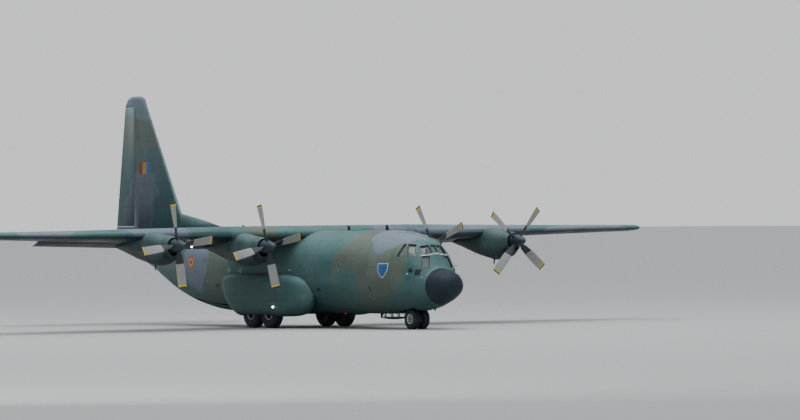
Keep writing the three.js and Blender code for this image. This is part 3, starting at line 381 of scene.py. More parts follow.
def panel_group():
    """Sheet edges on a grid over two surface coordinates, with rivets along both sides of them."""
    tree, given, out = new_group(
        "panel seams",
        [("Along", FLOAT, 0.0), ("Around", FLOAT, 0.0), ("Along Step", FLOAT, 0.5),
         ("Around Step", FLOAT, 0.4), ("Seam", FLOAT, 0.0025), ("Rivet Step", FLOAT, 0.025)],
        [("Seams", FLOAT), ("Rivets", FLOAT), ("Sheet", FLOAT)],
    )

    def off_line(value, step):
        share = maths(tree, "FRACT", maths(tree, "ADD", maths(tree, "DIVIDE", value, step), 0.5))
        return maths(tree, "MULTIPLY", maths(tree, "ABSOLUTE", maths(tree, "SUBTRACT", share, 0.5)), step)

    def nearest_line(value, step):
        return maths(tree, "FLOOR", maths(tree, "ADD", maths(tree, "DIVIDE", value, step), 0.5))

    row = nearest_line(given["Around"], given["Around Step"])
    shift = maths(tree, "MULTIPLY", maths(tree, "MODULO", row, 2.0),
                  maths(tree, "MULTIPLY", given["Along Step"], 0.37))
    along = maths(tree, "ADD", given["Along"], shift)
    to_frame = off_line(along, given["Along Step"])
    to_stringer = off_line(given["Around"], given["Around Step"])
    nearest = maths(tree, "MINIMUM", to_frame, to_stringer)
    seams = span(tree, nearest, given["Seam"], maths(tree, "MULTIPLY", given["Seam"], 0.4))

    def rivets(to_line, other):
        beside = maths(tree, "SUBTRACT", to_line, maths(tree, "MULTIPLY", given["Rivet Step"], 0.5))
        between = off_line(other, given["Rivet Step"])
        squares = maths(tree, "ADD", maths(tree, "MULTIPLY", beside, beside),
                        maths(tree, "MULTIPLY", between, between))
        radius = maths(tree, "MULTIPLY", given["Rivet Step"], 0.16)
        return span(tree, maths(tree, "SQRT", squares), radius, maths(tree, "MULTIPLY", radius, 0.5))

    dots = maths(tree, "MAXIMUM", rivets(to_frame, given["Around"]), rivets(to_stringer, given["Along"]))
    column = nearest_line(along, given["Along Step"])
    cell = node(tree, "ShaderNodeCombineXYZ", {0: row, 1: column})
    sheet = node(tree, "ShaderNodeTexWhiteNoise", {0: cell.outputs[0]}, noise_dimensions="3D")
    tree.links.new(seams, out["Seams"])
    tree.links.new(dots, out["Rivets"])
    tree.links.new(sheet.outputs["Value"], out["Sheet"])
    return tree


def edge_wear_group():
    """Worn and dusty spots for metal parts: a mask and a height from one noise."""
    tree, given, out = new_group(
        "wear",
        [("Position", VECTOR, None), ("Scale", FLOAT, 20.0), ("Amount", FLOAT, 0.3)],
        [("Mask", FLOAT), ("Height", FLOAT)],
    )
    patches = noise(tree, given["Position"], given["Scale"], 5.0, 0.7)
    low = maths(tree, "SUBTRACT", 0.85, maths(tree, "MULTIPLY", given["Amount"], 0.5))
    tree.links.new(span(tree, patches, low, maths(tree, "ADD", low, 0.12)), out["Mask"])
    tree.links.new(patches, out["Height"])
    return tree


CAMOUFLAGE = camouflage_group()
WEATHER = weather_group()
PANELS = panel_group()
WEAR = edge_wear_group()


def new_material(name):
    material = bpy.data.materials.new(name)
    material.use_nodes = True
    tree = material.node_tree
    tree.nodes.clear()
    shader = tree.nodes.new("ShaderNodeBsdfPrincipled")
    output = tree.nodes.new("ShaderNodeOutputMaterial")
    tree.links.new(shader.outputs[0], output.inputs["Surface"])
    position = tree.nodes.new("ShaderNodeTexCoord").outputs["Object"]
    return material, tree, shader.inputs, position


def bump(tree, height, strength, distance):
    inputs = {"Height": height, "Strength": strength, "Distance": distance}
    return node(tree, "ShaderNodeBump", inputs).outputs[0]


# Painted skins

FUSELAGE_AXIS_Z = 2.65
FUSELAGE_RADIUS = 2.16


def surface_coordinates(tree, position, kind):
    """Two distances over a surface: along the plane, and round the fuselage, across or up."""
    x, y, z = parts_of(tree, position)[:3]
    if kind == "round":
        up = maths(tree, "SUBTRACT", z, FUSELAGE_AXIS_Z * SCALE)
        return y, maths(tree, "MULTIPLY", maths(tree, "ARCTAN2", up, x), FUSELAGE_RADIUS * SCALE)
    if kind == "flat":
        return y, x
    return y, z


def painted_skin(name, kind, steps, markings=None, under=0.0, base=None, painted_light_share=0.0):
    """Camouflage or one base paint with sheet seams, rivets and weather; markings go over it; tops get
    painted light, undersides painted shade.
    """
    material, tree, shader, position = new_material(name)
    paint = base or use(tree, CAMOUFLAGE, Position=position)["Color"]
    # A share of pale blue-grey lightens the whole paint: painted light, used to brighten the fin's upright
    # sides.
    if painted_light_share:
        paint = blend(tree, painted_light_share, paint, colour(0.17, 0.21, 0.23))
    if markings:
        paint = markings(tree, position, paint)
    along, around = surface_coordinates(tree, position, kind)
    panels = use(tree, PANELS, Along=along, Around=around, Along_Step=steps[0], Around_Step=steps[1])
    weather = use(tree, WEATHER, Position=position)
    tone = span(tree, panels["Sheet"], 0.0, 1.0, 0.0, 0.12, smooth=False)
    paint = blend(tree, tone, paint, colour(0.14, 0.17, 0.17))
    paint = blend(tree, weather["Light"], paint, colour(0.14, 0.17, 0.165))
    # Faces that point up are painted lighter, up to half again as bright: a painted highlight from the light
    # above.
    z = parts_of(tree, node(tree, "ShaderNodeNewGeometry").outputs["Normal"])["Z"]
    paint = blend(tree, span(tree, z, 0.1, 0.9), paint, colour(1.55, 1.50, 1.46), "MULTIPLY")
    # Faces that point down are darkened towards a deep blue-green, as much as under says: painted shade on
    # the undersides.
    below = maths(tree, "MULTIPLY", span(tree, z, 0.05, -0.75), under)
    paint = blend(tree, below, paint, colour(0.010, 0.022, 0.030))
    paint = blend(tree, weather["Dark"], paint, colour(0.012, 0.014, 0.014))
    paint = blend(tree, maths(tree, "MULTIPLY", panels["Seams"], 0.8), paint, colour(0.006, 0.008, 0.008))
    paint = blend(tree, maths(tree, "MULTIPLY", panels["Rivets"], 0.4), paint, colour(0.008, 0.010, 0.010))
    tree.links.new(paint, shader["Base Color"])
    tree.links.new(weather["Roughness"], shader["Roughness"])
    height = maths(tree, "SUBTRACT", maths(tree, "MULTIPLY", panels["Rivets"], 0.4), panels["Seams"])
    tree.links.new(bump(tree, height, 0.5, 0.004), shader["Normal"])
    shader["Specular IOR Level"].default_value = 0.32
    return material


# Tail patch of three upright stripes with their spans along, rings behind the wing, shield on the nose
TAIL_STRIPES = [
    ((12.83, 13.20), colour(0.015, 0.13, 0.38)),
    ((13.20, 13.57), colour(0.52, 0.27, 0.02)),
    ((13.57, 13.95), colour(0.21, 0.012, 0.012)),
]
TAIL_STRIPE_Z = (7.68, 8.28)
ROUNDEL = {"y": 6.51, "z": 3.20, "radii": [
    (0.31, colour(0.34, 0.045, 0.012)),
    (0.21, colour(0.42, 0.26, 0.03)),
    (0.10, colour(0.010, 0.025, 0.09)),
]}
SHIELD = {"y": -9.60, "z": 2.83, "half": 0.30, "height": 0.71}


# Half the width over which a marking's edge fades, in the model
SOFT_EDGE = 0.004


def inside_span(tree, value, low, high):
    rising = span(tree, value, low - SOFT_EDGE, low + SOFT_EDGE)
    falling = span(tree, value, high + SOFT_EDGE, high - SOFT_EDGE)
    return maths(tree, "MULTIPLY", rising, falling)


def tail_markings(tree, position, paint):
    _, y, z = parts_of(tree, position)[:3]
    height = inside_span(tree, z, *(value * SCALE for value in TAIL_STRIPE_Z))
    for (y0, y1), tint in TAIL_STRIPES:
        stripe = inside_span(tree, y, (y0 - ORIGIN_Y) * SCALE, (y1 - ORIGIN_Y) * SCALE)
        paint = blend(tree, maths(tree, "MULTIPLY", stripe, height), paint, tint)
    return paint


def distance_in_side_view(tree, position, y, z):
    _, along, up = parts_of(tree, position)[:3]
    a = maths(tree, "SUBTRACT", along, (y - ORIGIN_Y) * SCALE)
    b = maths(tree, "SUBTRACT", up, z * SCALE)
    return a, b


def roundel_markings(tree, position, paint):
    a, b = distance_in_side_view(tree, position, ROUNDEL["y"], ROUNDEL["z"])
    squares = maths(tree, "ADD", maths(tree, "MULTIPLY", a, a), maths(tree, "MULTIPLY", b, b))
    distance = maths(tree, "SQRT", squares)
    for radius, tint in ROUNDEL["radii"]:
        inside = span(tree, distance, radius * SCALE + SOFT_EDGE, radius * SCALE - SOFT_EDGE)
        paint = blend(tree, inside, paint, tint)
    return paint


def shield_markings(tree, position, paint):
    """A plain shield: straight above, rounded to a point below, with a light border."""
    a, b = distance_in_side_view(tree, position, SHIELD["y"], SHIELD["z"])
    across = maths(tree, "ABSOLUTE", a)
    top = SHIELD["height"] / 2 * SCALE
    for inset, tint in ((0.0, colour(0.42, 0.50, 0.52)), (0.018, colour(0.008, 0.075, 0.24))):
        half = SHIELD["half"] * SCALE - inset
        down = span(tree, b, -top + inset, top * 0.15, 0.0, 1.0, smooth=False)
        width = maths(tree, "MULTIPLY", maths(tree, "POWER", down, 0.62), half)
        inside = span(tree, maths(tree, "SUBTRACT", across, width), SOFT_EDGE, -SOFT_EDGE)
        mask = maths(tree, "MULTIPLY", inside, inside_span(tree, b, -top + inset, top - inset))
        paint = blend(tree, mask, paint, tint)
    return paint


def plain_paint(name, tint, roughness, metallic=0.0, *, wear, wear_tint=colour(0.3, 0.3, 0.3), scale=22.0,
                specular=0.5):
    """One paint with worn spots and a fine uneven surface."""
    material, tree, shader, position = new_material(name)
    worn = use(tree, WEAR, Position=position, Scale=scale, Amount=wear)
    weather = use(tree, WEATHER, Position=position, Fading=0.15, Streaks=0.2, Dirt=0.35)
    paint = blend(tree, weather["Light"], tint, colour(*(min(1.0, c * 1.6 + 0.006) for c in tint[:3])))
    paint = blend(tree, weather["Dark"], paint, colour(0.01, 0.01, 0.009))
    paint = blend(tree, maths(tree, "MULTIPLY", worn["Mask"], 0.5), paint, wear_tint)
    tree.links.new(paint, shader["Base Color"])
    uneven = span(tree, worn["Height"], 0.3, 0.7, roughness - 0.08, roughness + 0.1)
    tree.links.new(uneven, shader["Roughness"])
    tree.links.new(bump(tree, worn["Height"], 0.12, 0.002), shader["Normal"])
    shader["Metallic"].default_value = metallic
    shader["Specular IOR Level"].default_value = specular
    return material


# Under, given by name or after the markings, sets how much painted shade each paint gets on its undersides.
SKIN_NOSE = painted_skin("nose paint", "round", (0.62, 0.46), shield_markings, 0.4)
SKIN_HOLD = painted_skin("fuselage paint", "round", (0.75, 0.42), under=0.38)
SKIN_AFT = painted_skin("rear fuselage paint", "round", (0.62, 0.42), roundel_markings, 0.5)
SKIN_WING = painted_skin("wing paint", "flat", (0.58, 0.74), under=0.85)
SKIN_FIN = painted_skin("fin paint", "side", (0.55, 0.60), tail_markings, painted_light_share=0.22)
SKIN_POD = painted_skin("nacelle paint", "side", (0.46, 0.30), under=0.9, base=colour(0.030, 0.072, 0.070))
SKIN_FAIRING = painted_skin("gear fairing paint", "side", (0.52, 0.34), under=0.5)
RADOME = plain_paint("radome rubber paint", colour(0.010, 0.019, 0.030), 0.62, wear=0.1,
                     wear_tint=colour(0.02, 0.026, 0.032), scale=9.0, specular=0.25)
DARK = plain_paint("dark trim paint", colour(0.010, 0.014, 0.018), 0.5, wear=0.25,
                   wear_tint=colour(0.05, 0.055, 0.055), specular=0.3)
SPINNER_PAINT = plain_paint("spinner paint", colour(0.014, 0.026, 0.036), 0.42, wear=0.2,
                            wear_tint=colour(0.05, 0.06, 0.065))
FRAME_PAINT = plain_paint("window frame paint", colour(0.085, 0.145, 0.135), 0.45, wear=0.3,
                          wear_tint=colour(0.20, 0.25, 0.24))
PALE_PAINT = plain_paint("pale trim paint", colour(0.50, 0.54, 0.53), 0.5, wear=0.3,
                         wear_tint=colour(0.2, 0.2, 0.19))
HOLD_PAINT = plain_paint("hold lining paint", colour(0.16, 0.19, 0.17), 0.55, wear=0.4,
                         wear_tint=colour(0.07, 0.08, 0.07))
GEAR_PAINT = plain_paint("gear leg paint", colour(0.30, 0.33, 0.33), 0.4, wear=0.35,
                         wear_tint=colour(0.07, 0.07, 0.06))
STEEL = plain_paint("engine metal", colour(0.20, 0.20, 0.21), 0.38, 0.9, wear=0.3)
HOT_METAL = plain_paint("heat stained metal", colour(0.12, 0.085, 0.065), 0.45, 0.9, wear=0.5,
                        wear_tint=colour(0.03, 0.026, 0.03))
FLOOR_PLATE = plain_paint("worn floor plate", colour(0.16, 0.17, 0.17), 0.42, 0.5, wear=0.6,
                          wear_tint=colour(0.32, 0.32, 0.32), scale=12.0)
DARK_RIM = plain_paint("dark wheel paint", colour(0.022, 0.028, 0.034), 0.5, wear=0.3,
                       wear_tint=colour(0.07, 0.07, 0.065))
RIM_PAINT = plain_paint("wheel rim paint", colour(0.20, 0.24, 0.21), 0.4, wear=0.35,
                        wear_tint=colour(0.15, 0.14, 0.12))


def tyre_material():
    material, tree, shader, position = new_material("tyre rubber")
    weather = use(tree, WEATHER, Position=position, Fading=0.5, Streaks=0.1, Dirt=0.6)
    fine = noise(tree, position, 90.0, 3.0, 0.6)
    paint = blend(tree, weather["Light"], colour(0.012, 0.019, 0.029), colour(0.030, 0.038, 0.050))
    z = parts_of(tree, position)["Z"]
    dust = maths(tree, "MULTIPLY", span(tree, z, 0.05, 0.0), 0.35)
    paint = blend(tree, dust, paint, colour(0.07, 0.065, 0.055))
    tree.links.new(paint, shader["Base Color"])
    tree.links.new(span(tree, fine, 0.3, 0.7, 0.62, 0.85), shader["Roughness"])
    tree.links.new(bump(tree, fine, 0.15, 0.001), shader["Normal"])
    return material


def glass_material():
    material, tree, shader, position = new_material("window glass")
    smears = noise(tree, position, 2.2, 2.0, 0.5)
    tree.links.new(span(tree, smears, 0.3, 0.8, 0.05, 0.14), shader["Roughness"])
    tint = blend(tree, span(tree, smears, 0.35, 0.7), colour(0.17, 0.21, 0.21), colour(0.24, 0.28, 0.28))
    tree.links.new(tint, shader["Base Color"])
    shader["Transmission Weight"].default_value = 0.55
    shader["IOR"].default_value = 1.45
    return material


def blade_material():
    """Grey blades with a dark root and a banded tip, by the share of the span kept on the mesh."""
    material, tree, shader, position = new_material("propeller blade paint")
    share = node(tree, "ShaderNodeAttribute", attribute_name="blade_share").outputs["Fac"]
    weather = use(tree, WEATHER, Position=position, Fading=0.3, Streaks=0.25, Dirt=0.3)
    paint = blend(tree, weather["Light"], colour(0.25, 0.25, 0.235), colour(0.36, 0.36, 0.33))
    paint = blend(tree, span(tree, share, 0.434, 0.428), paint, colour(0.012, 0.018, 0.024))
    paint = blend(tree, span(tree, share, 0.925, 0.928), paint, colour(0.55, 0.40, 0.02))
    paint = blend(tree, span(tree, share, 0.965, 0.968), paint, colour(0.03, 0.012, 0.010))
    paint = blend(tree, maths(tree, "MULTIPLY", weather["Dark"], 0.6), paint, colour(0.03, 0.03, 0.03))
    tree.links.new(paint, shader["Base Color"])
    tree.links.new(weather["Roughness"], shader["Roughness"])
    return material


def light_material(name, tint, strength):
    material, tree, shader, position = new_material(name)
    ripple = noise(tree, position, 140.0, 1.0)
    tree.links.new(blend(tree, ripple, tint, colour(*(c * 0.7 for c in tint[:3]))), shader["Base Color"])
    shader["Emission Color"].default_value = tint
    shader["Emission Strength"].default_value = strength
    shader["Roughness"].default_value = 0.12
    return material


def cloth_material():
    material, tree, shader, position = new_material("seat cloth")
    weave = node(tree, "ShaderNodeTexWave", {"Vector": position, "Scale": 160.0, "Distortion": 1.0},
                 wave_type="BANDS").outputs["Fac"]
    worn = noise(tree, position, 12.0, 4.0)
    paint = blend(tree, weave, colour(0.035, 0.045, 0.030), colour(0.075, 0.085, 0.055))
    rubbed = maths(tree, "MULTIPLY", span(tree, worn, 0.5, 0.75), 0.4)
    paint = blend(tree, rubbed, paint, colour(0.13, 0.13, 0.10))
    tree.links.new(paint, shader["Base Color"])
    tree.links.new(bump(tree, weave, 0.4, 0.002), shader["Normal"])
    tree.links.new(span(tree, worn, 0.3, 0.7, 0.8, 0.95), shader["Roughness"])
    shader["Sheen Weight"].default_value = 0.2
    return material


TYRE = tyre_material()
GLASS = glass_material()
BLADE = blade_material()
CLOTH = cloth_material()
LAMP_WHITE = light_material("landing lamp", colour(1.0, 0.97, 0.90), 14.0)
LAMP_RED = light_material("red lamp", colour(0.70, 0.03, 0.02), 1.5)
LAMP_GREEN = light_material("green lamp", colour(0.02, 0.45, 0.12), 1.0)

# Oval bodies: fuselage, nacelles and gear fairings, smoothed from the CAD rings

# Place along the fuselage behind every point that is laid on its front
BEHIND_WINDOWS = -8.0


class Oval:
    """A tapering oval body as the CAD lofts it, in straight facets between its rows.

    A row holds the place along, half width, top, bottom, height of the widest point and the oval's
    power, measured from centre. sides is how many points a ring has in the CAD.
    """

    def __init__(self, rows, sides, centre=(0.0, 0.0, 0.0)):
        self.rows = np.array(rows)
        self.sides = sides
        self.centre = np.array(centre)

    def straight(self, y):
        return [np.interp(y, self.rows[:, 0], self.rows[:, c]) for c in range(1, 6)]

    def curved(self, y):
        """The rows read along curves that never overshoot them."""
        places = self.rows[:, 0]
        steps = np.diff(places)
        i = np.clip(np.searchsorted(places, y) - 1, 0, len(steps) - 1)
        t = np.clip((y - places[i]) / steps[i], 0, 1)
        rows = []
        for c in range(1, 6):
            values = self.rows[:, c]
            slopes = np.diff(values) / steps
            product = slopes[:-1] * slopes[1:]
            total = np.where(product > 0, slopes[:-1] + slopes[1:], 1)
            inner = np.where(product > 0, 2 * product / total, 0)
            tangents = np.concatenate([[slopes[0]], inner, [slopes[-1]]])
            rise = (2 * t**3 - 3 * t**2 + 1) * values[i] + (3 * t**2 - 2 * t**3) * values[i + 1]
            bend = (t**3 - 2 * t**2 + t) * tangents[i] + (t**3 - t**2) * tangents[i + 1]
            rows.append(rise + bend * steps[i])
        return rows

    def local(self, points):
        """Model points in full size, from the body's centre."""
        return (points / SCALE + np.array([0, ORIGIN_Y, 0]) - self.centre).T

    def ring_share(self, u, v, power):
        """How far the CAD's straight-sided ring lies inside the oval, towards (u, v)."""
        angle = np.arctan2(np.sign(v) * np.abs(v) ** (power / 2), np.sign(u) * np.abs(u) ** (power / 2))
        step = 2 * np.pi / self.sides
        i = np.floor(angle / step - 0.5)

        def corner(k):
            c, s = np.cos((k + 0.5) * step), np.sin((k + 0.5) * step)
            return np.sign(c) * np.abs(c) ** (2 / power), np.sign(s) * np.abs(s) ** (2 / power)

        (ax, ay), (bx, by) = corner(i), corner(i + 1)
        size = np.maximum((np.abs(u) ** power + np.abs(v) ** power) ** (1 / power), 1e-6)
        return (ax * (by - ay) - ay * (bx - ax)) / ((u * (by - ay) - v * (bx - ax)) / size)

    def smooth(self, points):
        """Moves points from the straight-sided form to the curved one."""
        x, y, z = self.local(points)
        half, top, bottom, wide, power = self.straight(y)
        reach = np.where(z > wide, top - wide, wide - bottom)
        u, v = x / half, (z - wide) / reach
        share = self.ring_share(u, v, power)
        half, top, bottom, wide, _ = self.curved(y)
        reach = np.where(v > 0, top - wide, wide - bottom)
        moved = np.stack([half * u / share, y, wide + reach * v / share], axis=1)
        return (moved + self.centre - np.array([0, ORIGIN_Y, 0])) * SCALE

    def level(self, x, y, z):
        """1 on the skin, less inside it and more outside."""
        half, top, bottom, wide, power = self.curved(y)
        reach = np.where(z > wide, top - wide, wide - bottom)
        return (np.abs(x / half) ** power + np.abs((z - wide) / reach) ** power) ** (1 / power)

    def normals(self, points):
        """The oval's own normals, from its level a little to each side of the points."""
        x, y, z = self.local(points)
        e = 2e-3
        slope = np.stack([
            self.level(x + e, y, z) - self.level(x - e, y, z),
            self.level(x, y + e, z) - self.level(x, y - e, z),
            self.level(x, y, z + e) - self.level(x, y, z - e),
        ], axis=1)
        return slope / np.maximum(np.linalg.norm(slope, axis=1, keepdims=True), 1e-9)

    def lifted(self, x, y, z, lift):
        """Model points over full-size ones, raised off the skin."""
        points = (np.stack([x, y, z], axis=1) + self.centre - np.array([0, ORIGIN_Y, 0])) * SCALE
        return points + self.normals(points) * lift * SCALE

    def around(self, y, angles, lift):
        """Model points round the body at one place along it, angles from its port side up."""
        y = np.full(len(angles), float(y))
        half, top, bottom, wide, power = self.curved(y)
        c, s = np.cos(angles), np.sin(angles)
        across = np.sign(c) * np.abs(c) ** (2 / power)
        up = np.sign(s) * np.abs(s) ** (2 / power)
        return self.lifted(half * across, y, wide + np.where(up > 0, top - wide, wide - bottom) * up, lift)

    def on_side(self, flat, side, lift):
        """Flat (along, up) points laid on one side of the body."""
        y, z = np.array(flat, float).T - self.centre[1:, None]
        half, top, bottom, wide, power = self.curved(y)
        v = np.clip(np.abs(z - wide) / np.where(z > wide, top - wide, wide - bottom), 0, 1)
        return self.lifted(side * half * (1 - v**power) ** (1 / power), y, z, lift)

    def on_front(self, flat, _, lift):
        """Flat (across, up) points laid on the front of the body, by halving the span they lie in."""
        x, z = np.array(flat, float).T - self.centre[[0, 2], None]
        low = np.full(len(x), self.rows[0, 0])
        high = np.full(len(x), BEHIND_WINDOWS)
        for _ in range(40):
            middle = (low + high) / 2
            outside = self.level(x, middle, z) > 1
            low = np.where(outside, middle, low)
            high = np.where(outside, high, middle)
        return self.lifted(x, high, z, lift)

    def on_top(self, flat, way, lift):
        """Flat (across, along) points laid on the top, or with way -1 on the bottom."""
        x, y = np.array(flat, float).T - self.centre[:2, None]
        half, top, bottom, wide, power = self.curved(y)
        u = np.clip(np.abs(x) / half, 0, 1)
        reach = (top - wide if way > 0 else bottom - wide) * (1 - u**power) ** (1 / power)
        return self.lifted(x, y, wide + reach, lift)


# Place along, half width, top, bottom, height of the widest point, power of the oval
HULL = Oval([
    (-12.950, 0.090, 2.200, 2.020, 2.110, 2.00),
    (-12.870, 0.380, 2.450, 1.800, 2.100, 2.00),
    (-12.680, 0.610, 2.650, 1.610, 2.090, 2.00),
    (-12.400, 0.790, 2.790, 1.440, 2.080, 2.00),
    (-12.080, 0.915, 2.880, 1.290, 2.080, 2.00),
    (-11.780, 0.985, 2.940, 1.180, 2.080, 2.00),
    (-11.560, 1.080, 3.240, 1.110, 2.140, 2.00),
    (-11.350, 1.190, 3.640, 1.035, 2.230, 2.00),
    (-11.100, 1.330, 3.980, 0.990, 2.310, 2.00),
    (-10.850, 1.460, 4.210, 0.945, 2.380, 2.00),
    (-10.450, 1.640, 4.380, 0.885, 2.440, 2.05),
    (-9.900, 1.840, 4.530, 0.820, 2.500, 2.10),
    (-9.200, 2.030, 4.660, 0.765, 2.560, 2.10),
    (-8.590, 2.120, 4.720, 0.735, 2.610, 2.15),
    (-7.800, 2.160, 4.750, 0.720, 2.650, 2.20),
    (3.910, 2.160, 4.750, 0.720, 2.650, 2.20),
    (5.600, 2.120, 4.780, 0.790, 2.720, 2.20),
    (7.260, 1.990, 4.830, 1.060, 2.850, 2.20),
    (8.900, 1.780, 4.870, 1.540, 3.080, 2.20),
    (10.300, 1.520, 4.890, 2.110, 3.400, 2.20),
    (11.600, 1.230, 4.890, 2.690, 3.720, 2.20),
    (13.300, 0.850, 4.860, 3.220, 4.020, 2.20),
    (15.000, 0.500, 4.790, 3.650, 4.200, 2.10),
    (16.300, 0.230, 4.660, 3.990, 4.320, 2.00),
    (16.840, 0.090, 4.520, 4.240, 4.380, 2.00),
], 32)
NACELLE_ROWS = [
    (0.330, 0.430, 0.400, -0.560, -0.040, 2.2),
    (0.620, 0.510, 0.460, -0.780, -0.120, 2.3),
    (1.150, 0.570, 0.520, -0.920, -0.160, 2.4),
    (1.900, 0.590, 0.640, -0.890, -0.120, 2.4),
    (2.700, 0.580, 0.600, -0.750, -0.080, 2.4),
    (3.600, 0.520, 0.400, -0.520, -0.060, 2.3),
    (4.500, 0.400, 0.160, -0.270, -0.060, 2.2),
    (5.000, 0.290, 0.060, -0.150, -0.050, 2.0),
]
FAIRING_ROWS = [
    (-3.950, 0.060, 1.600, 1.350, 1.480, 2.0),
    (-3.850, 0.230, 1.950, 1.100, 1.480, 2.1),
    (-3.350, 0.540, 2.410, 0.770, 1.490, 2.6),
    (-2.850, 0.670, 2.540, 0.650, 1.500, 3.4),
    (-1.900, 0.760, 2.635, 0.570, 1.500, 5.0),
    (1.500, 0.760, 2.640, 0.580, 1.500, 5.0),
    (2.100, 0.745, 2.640, 0.760, 1.650, 4.0),
    (2.600, 0.690, 2.635, 1.050, 1.850, 3.2),
    (3.100, 0.500, 2.600, 1.450, 2.080, 2.6),
    (3.600, 0.170, 2.500, 1.950, 2.250, 2.2),
    (3.700, 0.060, 2.420, 2.150, 2.290, 2.0),
]
PROPELLER_Y = -4.42
PROPELLER_R = 2.055
# Number, across, up, direction of the first blade in degrees from upright
ENGINES = [(1, 10.16, 4.13, 40.7), (2, 4.95, 4.02, -26.5), (3, -4.95, 4.02, -13.2), (4, -10.16, 4.13, -7.3)]
NACELLES = {number: Oval(NACELLE_ROWS, 18, (x, PROPELLER_Y, z)) for number, x, z, _ in ENGINES}
FAIRINGS = {name: Oval(FAIRING_ROWS, 28, (side * 1.96, 0, 0)) for name, side in SIDES.items()}


# Ends of the rows of hinge knuckles, full size: the crew door's, the ramp's, the cargo door's
HINGES = [((1.30, -9.40, 1.07), (1.30, -8.80, 1.07)), ((-0.30, 3.98, 0.765), (0.30, 3.98, 0.765)),
          ((-0.50, 11.30, 2.90), (0.50, 11.30, 2.90))]
# Distances from a hinge line in the model: up to which the form is kept, and over which it changes
KEPT_REACH, BLEND_REACH = 0.06, 0.12


def away_from_hinges(points):
    """0 on hinge knuckles, which keep the CAD's form so that they stay on their axes, 1 elsewhere."""
    share = np.ones(len(points))
    for ends in HINGES:
        start, end = (np.array(place(*point)) for point in ends)
        run = end - start
        along = np.clip((points - start) @ run / (run @ run), 0, 1)
        gap = np.linalg.norm(points - start - along[:, None] * run, axis=1)
        share = np.minimum(share, np.clip((gap - KEPT_REACH) / BLEND_REACH, 0, 1))
    return share[:, None]


# A face is skin where its normal agrees at least so well with the oval's
SKIN_MATCH = 0.9


def oval_skin(name, source, form, cut_step, fan):
    """A finer, curved copy of an oval CAD piece, with the oval's own normals where it is skin.

    It is cut every cut_step along it and by a fan of planes through its axis.
    """
    shape = merged_copy(source)
    ys = [v.co.y for v in shape.verts]
    planes = [((0, y, 0), (0, 1, 0)) for y in np.arange(min(ys) + cut_step / 2, max(ys), cut_step)]
    centre = form.centre
    axis = (centre[0] * SCALE, 0, (centre[2] + form.rows[len(form.rows) // 2, 4]) * SCALE)
    for k in range(fan):
        a = math.pi * (k + 0.31) / fan
        planes.append((axis, (math.cos(a), 0, math.sin(a))))
    for point, normal in planes:
        geometry = shape.verts[:] + shape.edges[:] + shape.faces[:]
        bmesh.ops.bisect_plane(shape, geom=geometry, dist=1e-5, plane_co=point, plane_no=normal)
    bmesh.ops.triangulate(shape, faces=shape.faces)
    mesh = bpy.data.meshes.new(name)
    shape.to_mesh(mesh)
    shape.free()
    points = np.zeros(len(mesh.vertices) * 3)
    mesh.vertices.foreach_get("co", points)
    points = points.reshape(-1, 3)
    points = points + (form.smooth(points) - points) * away_from_hinges(points)
    mesh.vertices.foreach_set("co", points.ravel())
    mesh.update()
    flat = np.zeros(len(mesh.polygons) * 3)
    mesh.polygons.foreach_get("normal", flat)
    flat = flat.reshape(-1, 3)
    corners = np.zeros(len(mesh.loops), int)
    mesh.loops.foreach_get("vertex_index", corners)
    own = form.normals(points)[corners].reshape(-1, 3, 3)
    middle = own.mean(axis=1)
    match = (flat * middle).sum(axis=1)
    is_skin = np.abs(match) > SKIN_MATCH * np.linalg.norm(middle, axis=1)
    chosen = np.where(is_skin[:, None, None], own * np.sign(match)[:, None, None], flat[:, None, :])
    mesh.shade_smooth()
    mesh.normals_split_custom_set(chosen.reshape(-1, 3).tolist())
    obj = bpy.data.objects.new(name, mesh)
    bpy.context.scene.collection.objects.link(obj)
    return obj


HULL_PIECES = [
    ("radome", RADOME, "nose_cone"),
    ("nose_section", SKIN_NOSE, "camouflage"),
    ("flight_deck_glazing", GLASS, "window_glass"),
    ("crew_door", SKIN_NOSE, "camouflage"),
    ("fuselage_center", SKIN_HOLD, "camouflage"),
    ("fuselage_aft", SKIN_AFT, "camouflage"),
    ("ramp", SKIN_AFT, "camouflage"),
    ("cargo_door", SKIN_AFT, "camouflage"),
    ("paratroop_door_left", SKIN_AFT, "camouflage"),
    ("paratroop_door_right", SKIN_AFT, "camouflage"),
]
for source, material, slot in HULL_PIECES:
    dress(oval_skin(source + "_skin", source, HULL, 0.16, 24), material, body_of(source), slot, source)

for number, form in NACELLES.items():
    source = f"nacelle_{number}"
    dress(oval_skin(source + "_skin", source, form, 0.09, 16), SKIN_POD, "airframe", "camouflage", source)
for name in SIDES:
    for source in (f"gear_fairing_{name}", f"main_gear_door_{name}"):
        dress(oval_skin(source + "_skin", source, FAIRINGS[name], 0.10, 18), SKIN_FAIRING, "airframe",
              "camouflage", source)

# Smooth copies of the CAD forms: wing, tail, floors, panel, engine blocks and gear legs

SMOOTH_COPIES = [
    (["wing_center", "wing_outer_left", "wing_outer_right"], SKIN_WING, "camouflage", 70),
    (["flap_inboard_left", "flap_inboard_right", "flap_outboard_left", "flap_outboard_right",
      "aileron_left", "aileron_right"], SKIN_WING, "camouflage", 50),
    (["stabilizer_left", "stabilizer_right", "elevator_left", "elevator_right"], SKIN_WING, "camouflage", 60),
    (["fin", "rudder"], SKIN_FIN, "camouflage", 60),
    (["cargo_floor", "flight_deck_floor"], FLOOR_PLATE, "floor_plate", 30),
    (["instrument_panel"], DARK, "dark_trim", 30),
    (["engine_1", "engine_2", "engine_3", "engine_4"], STEEL, "engine_metal", 40),
    (["main_strut_left", "main_strut_right", "nose_strut", "nose_steering"], GEAR_PAINT, "gear_metal", 40),
]
for sources, material, slot, angle in SMOOTH_COPIES:
    for source in sources:
        copy = from_bmesh(source + "_form", merged_copy(source), angle)
        dress(copy, material, body_of(source), slot, source)

# Propellers

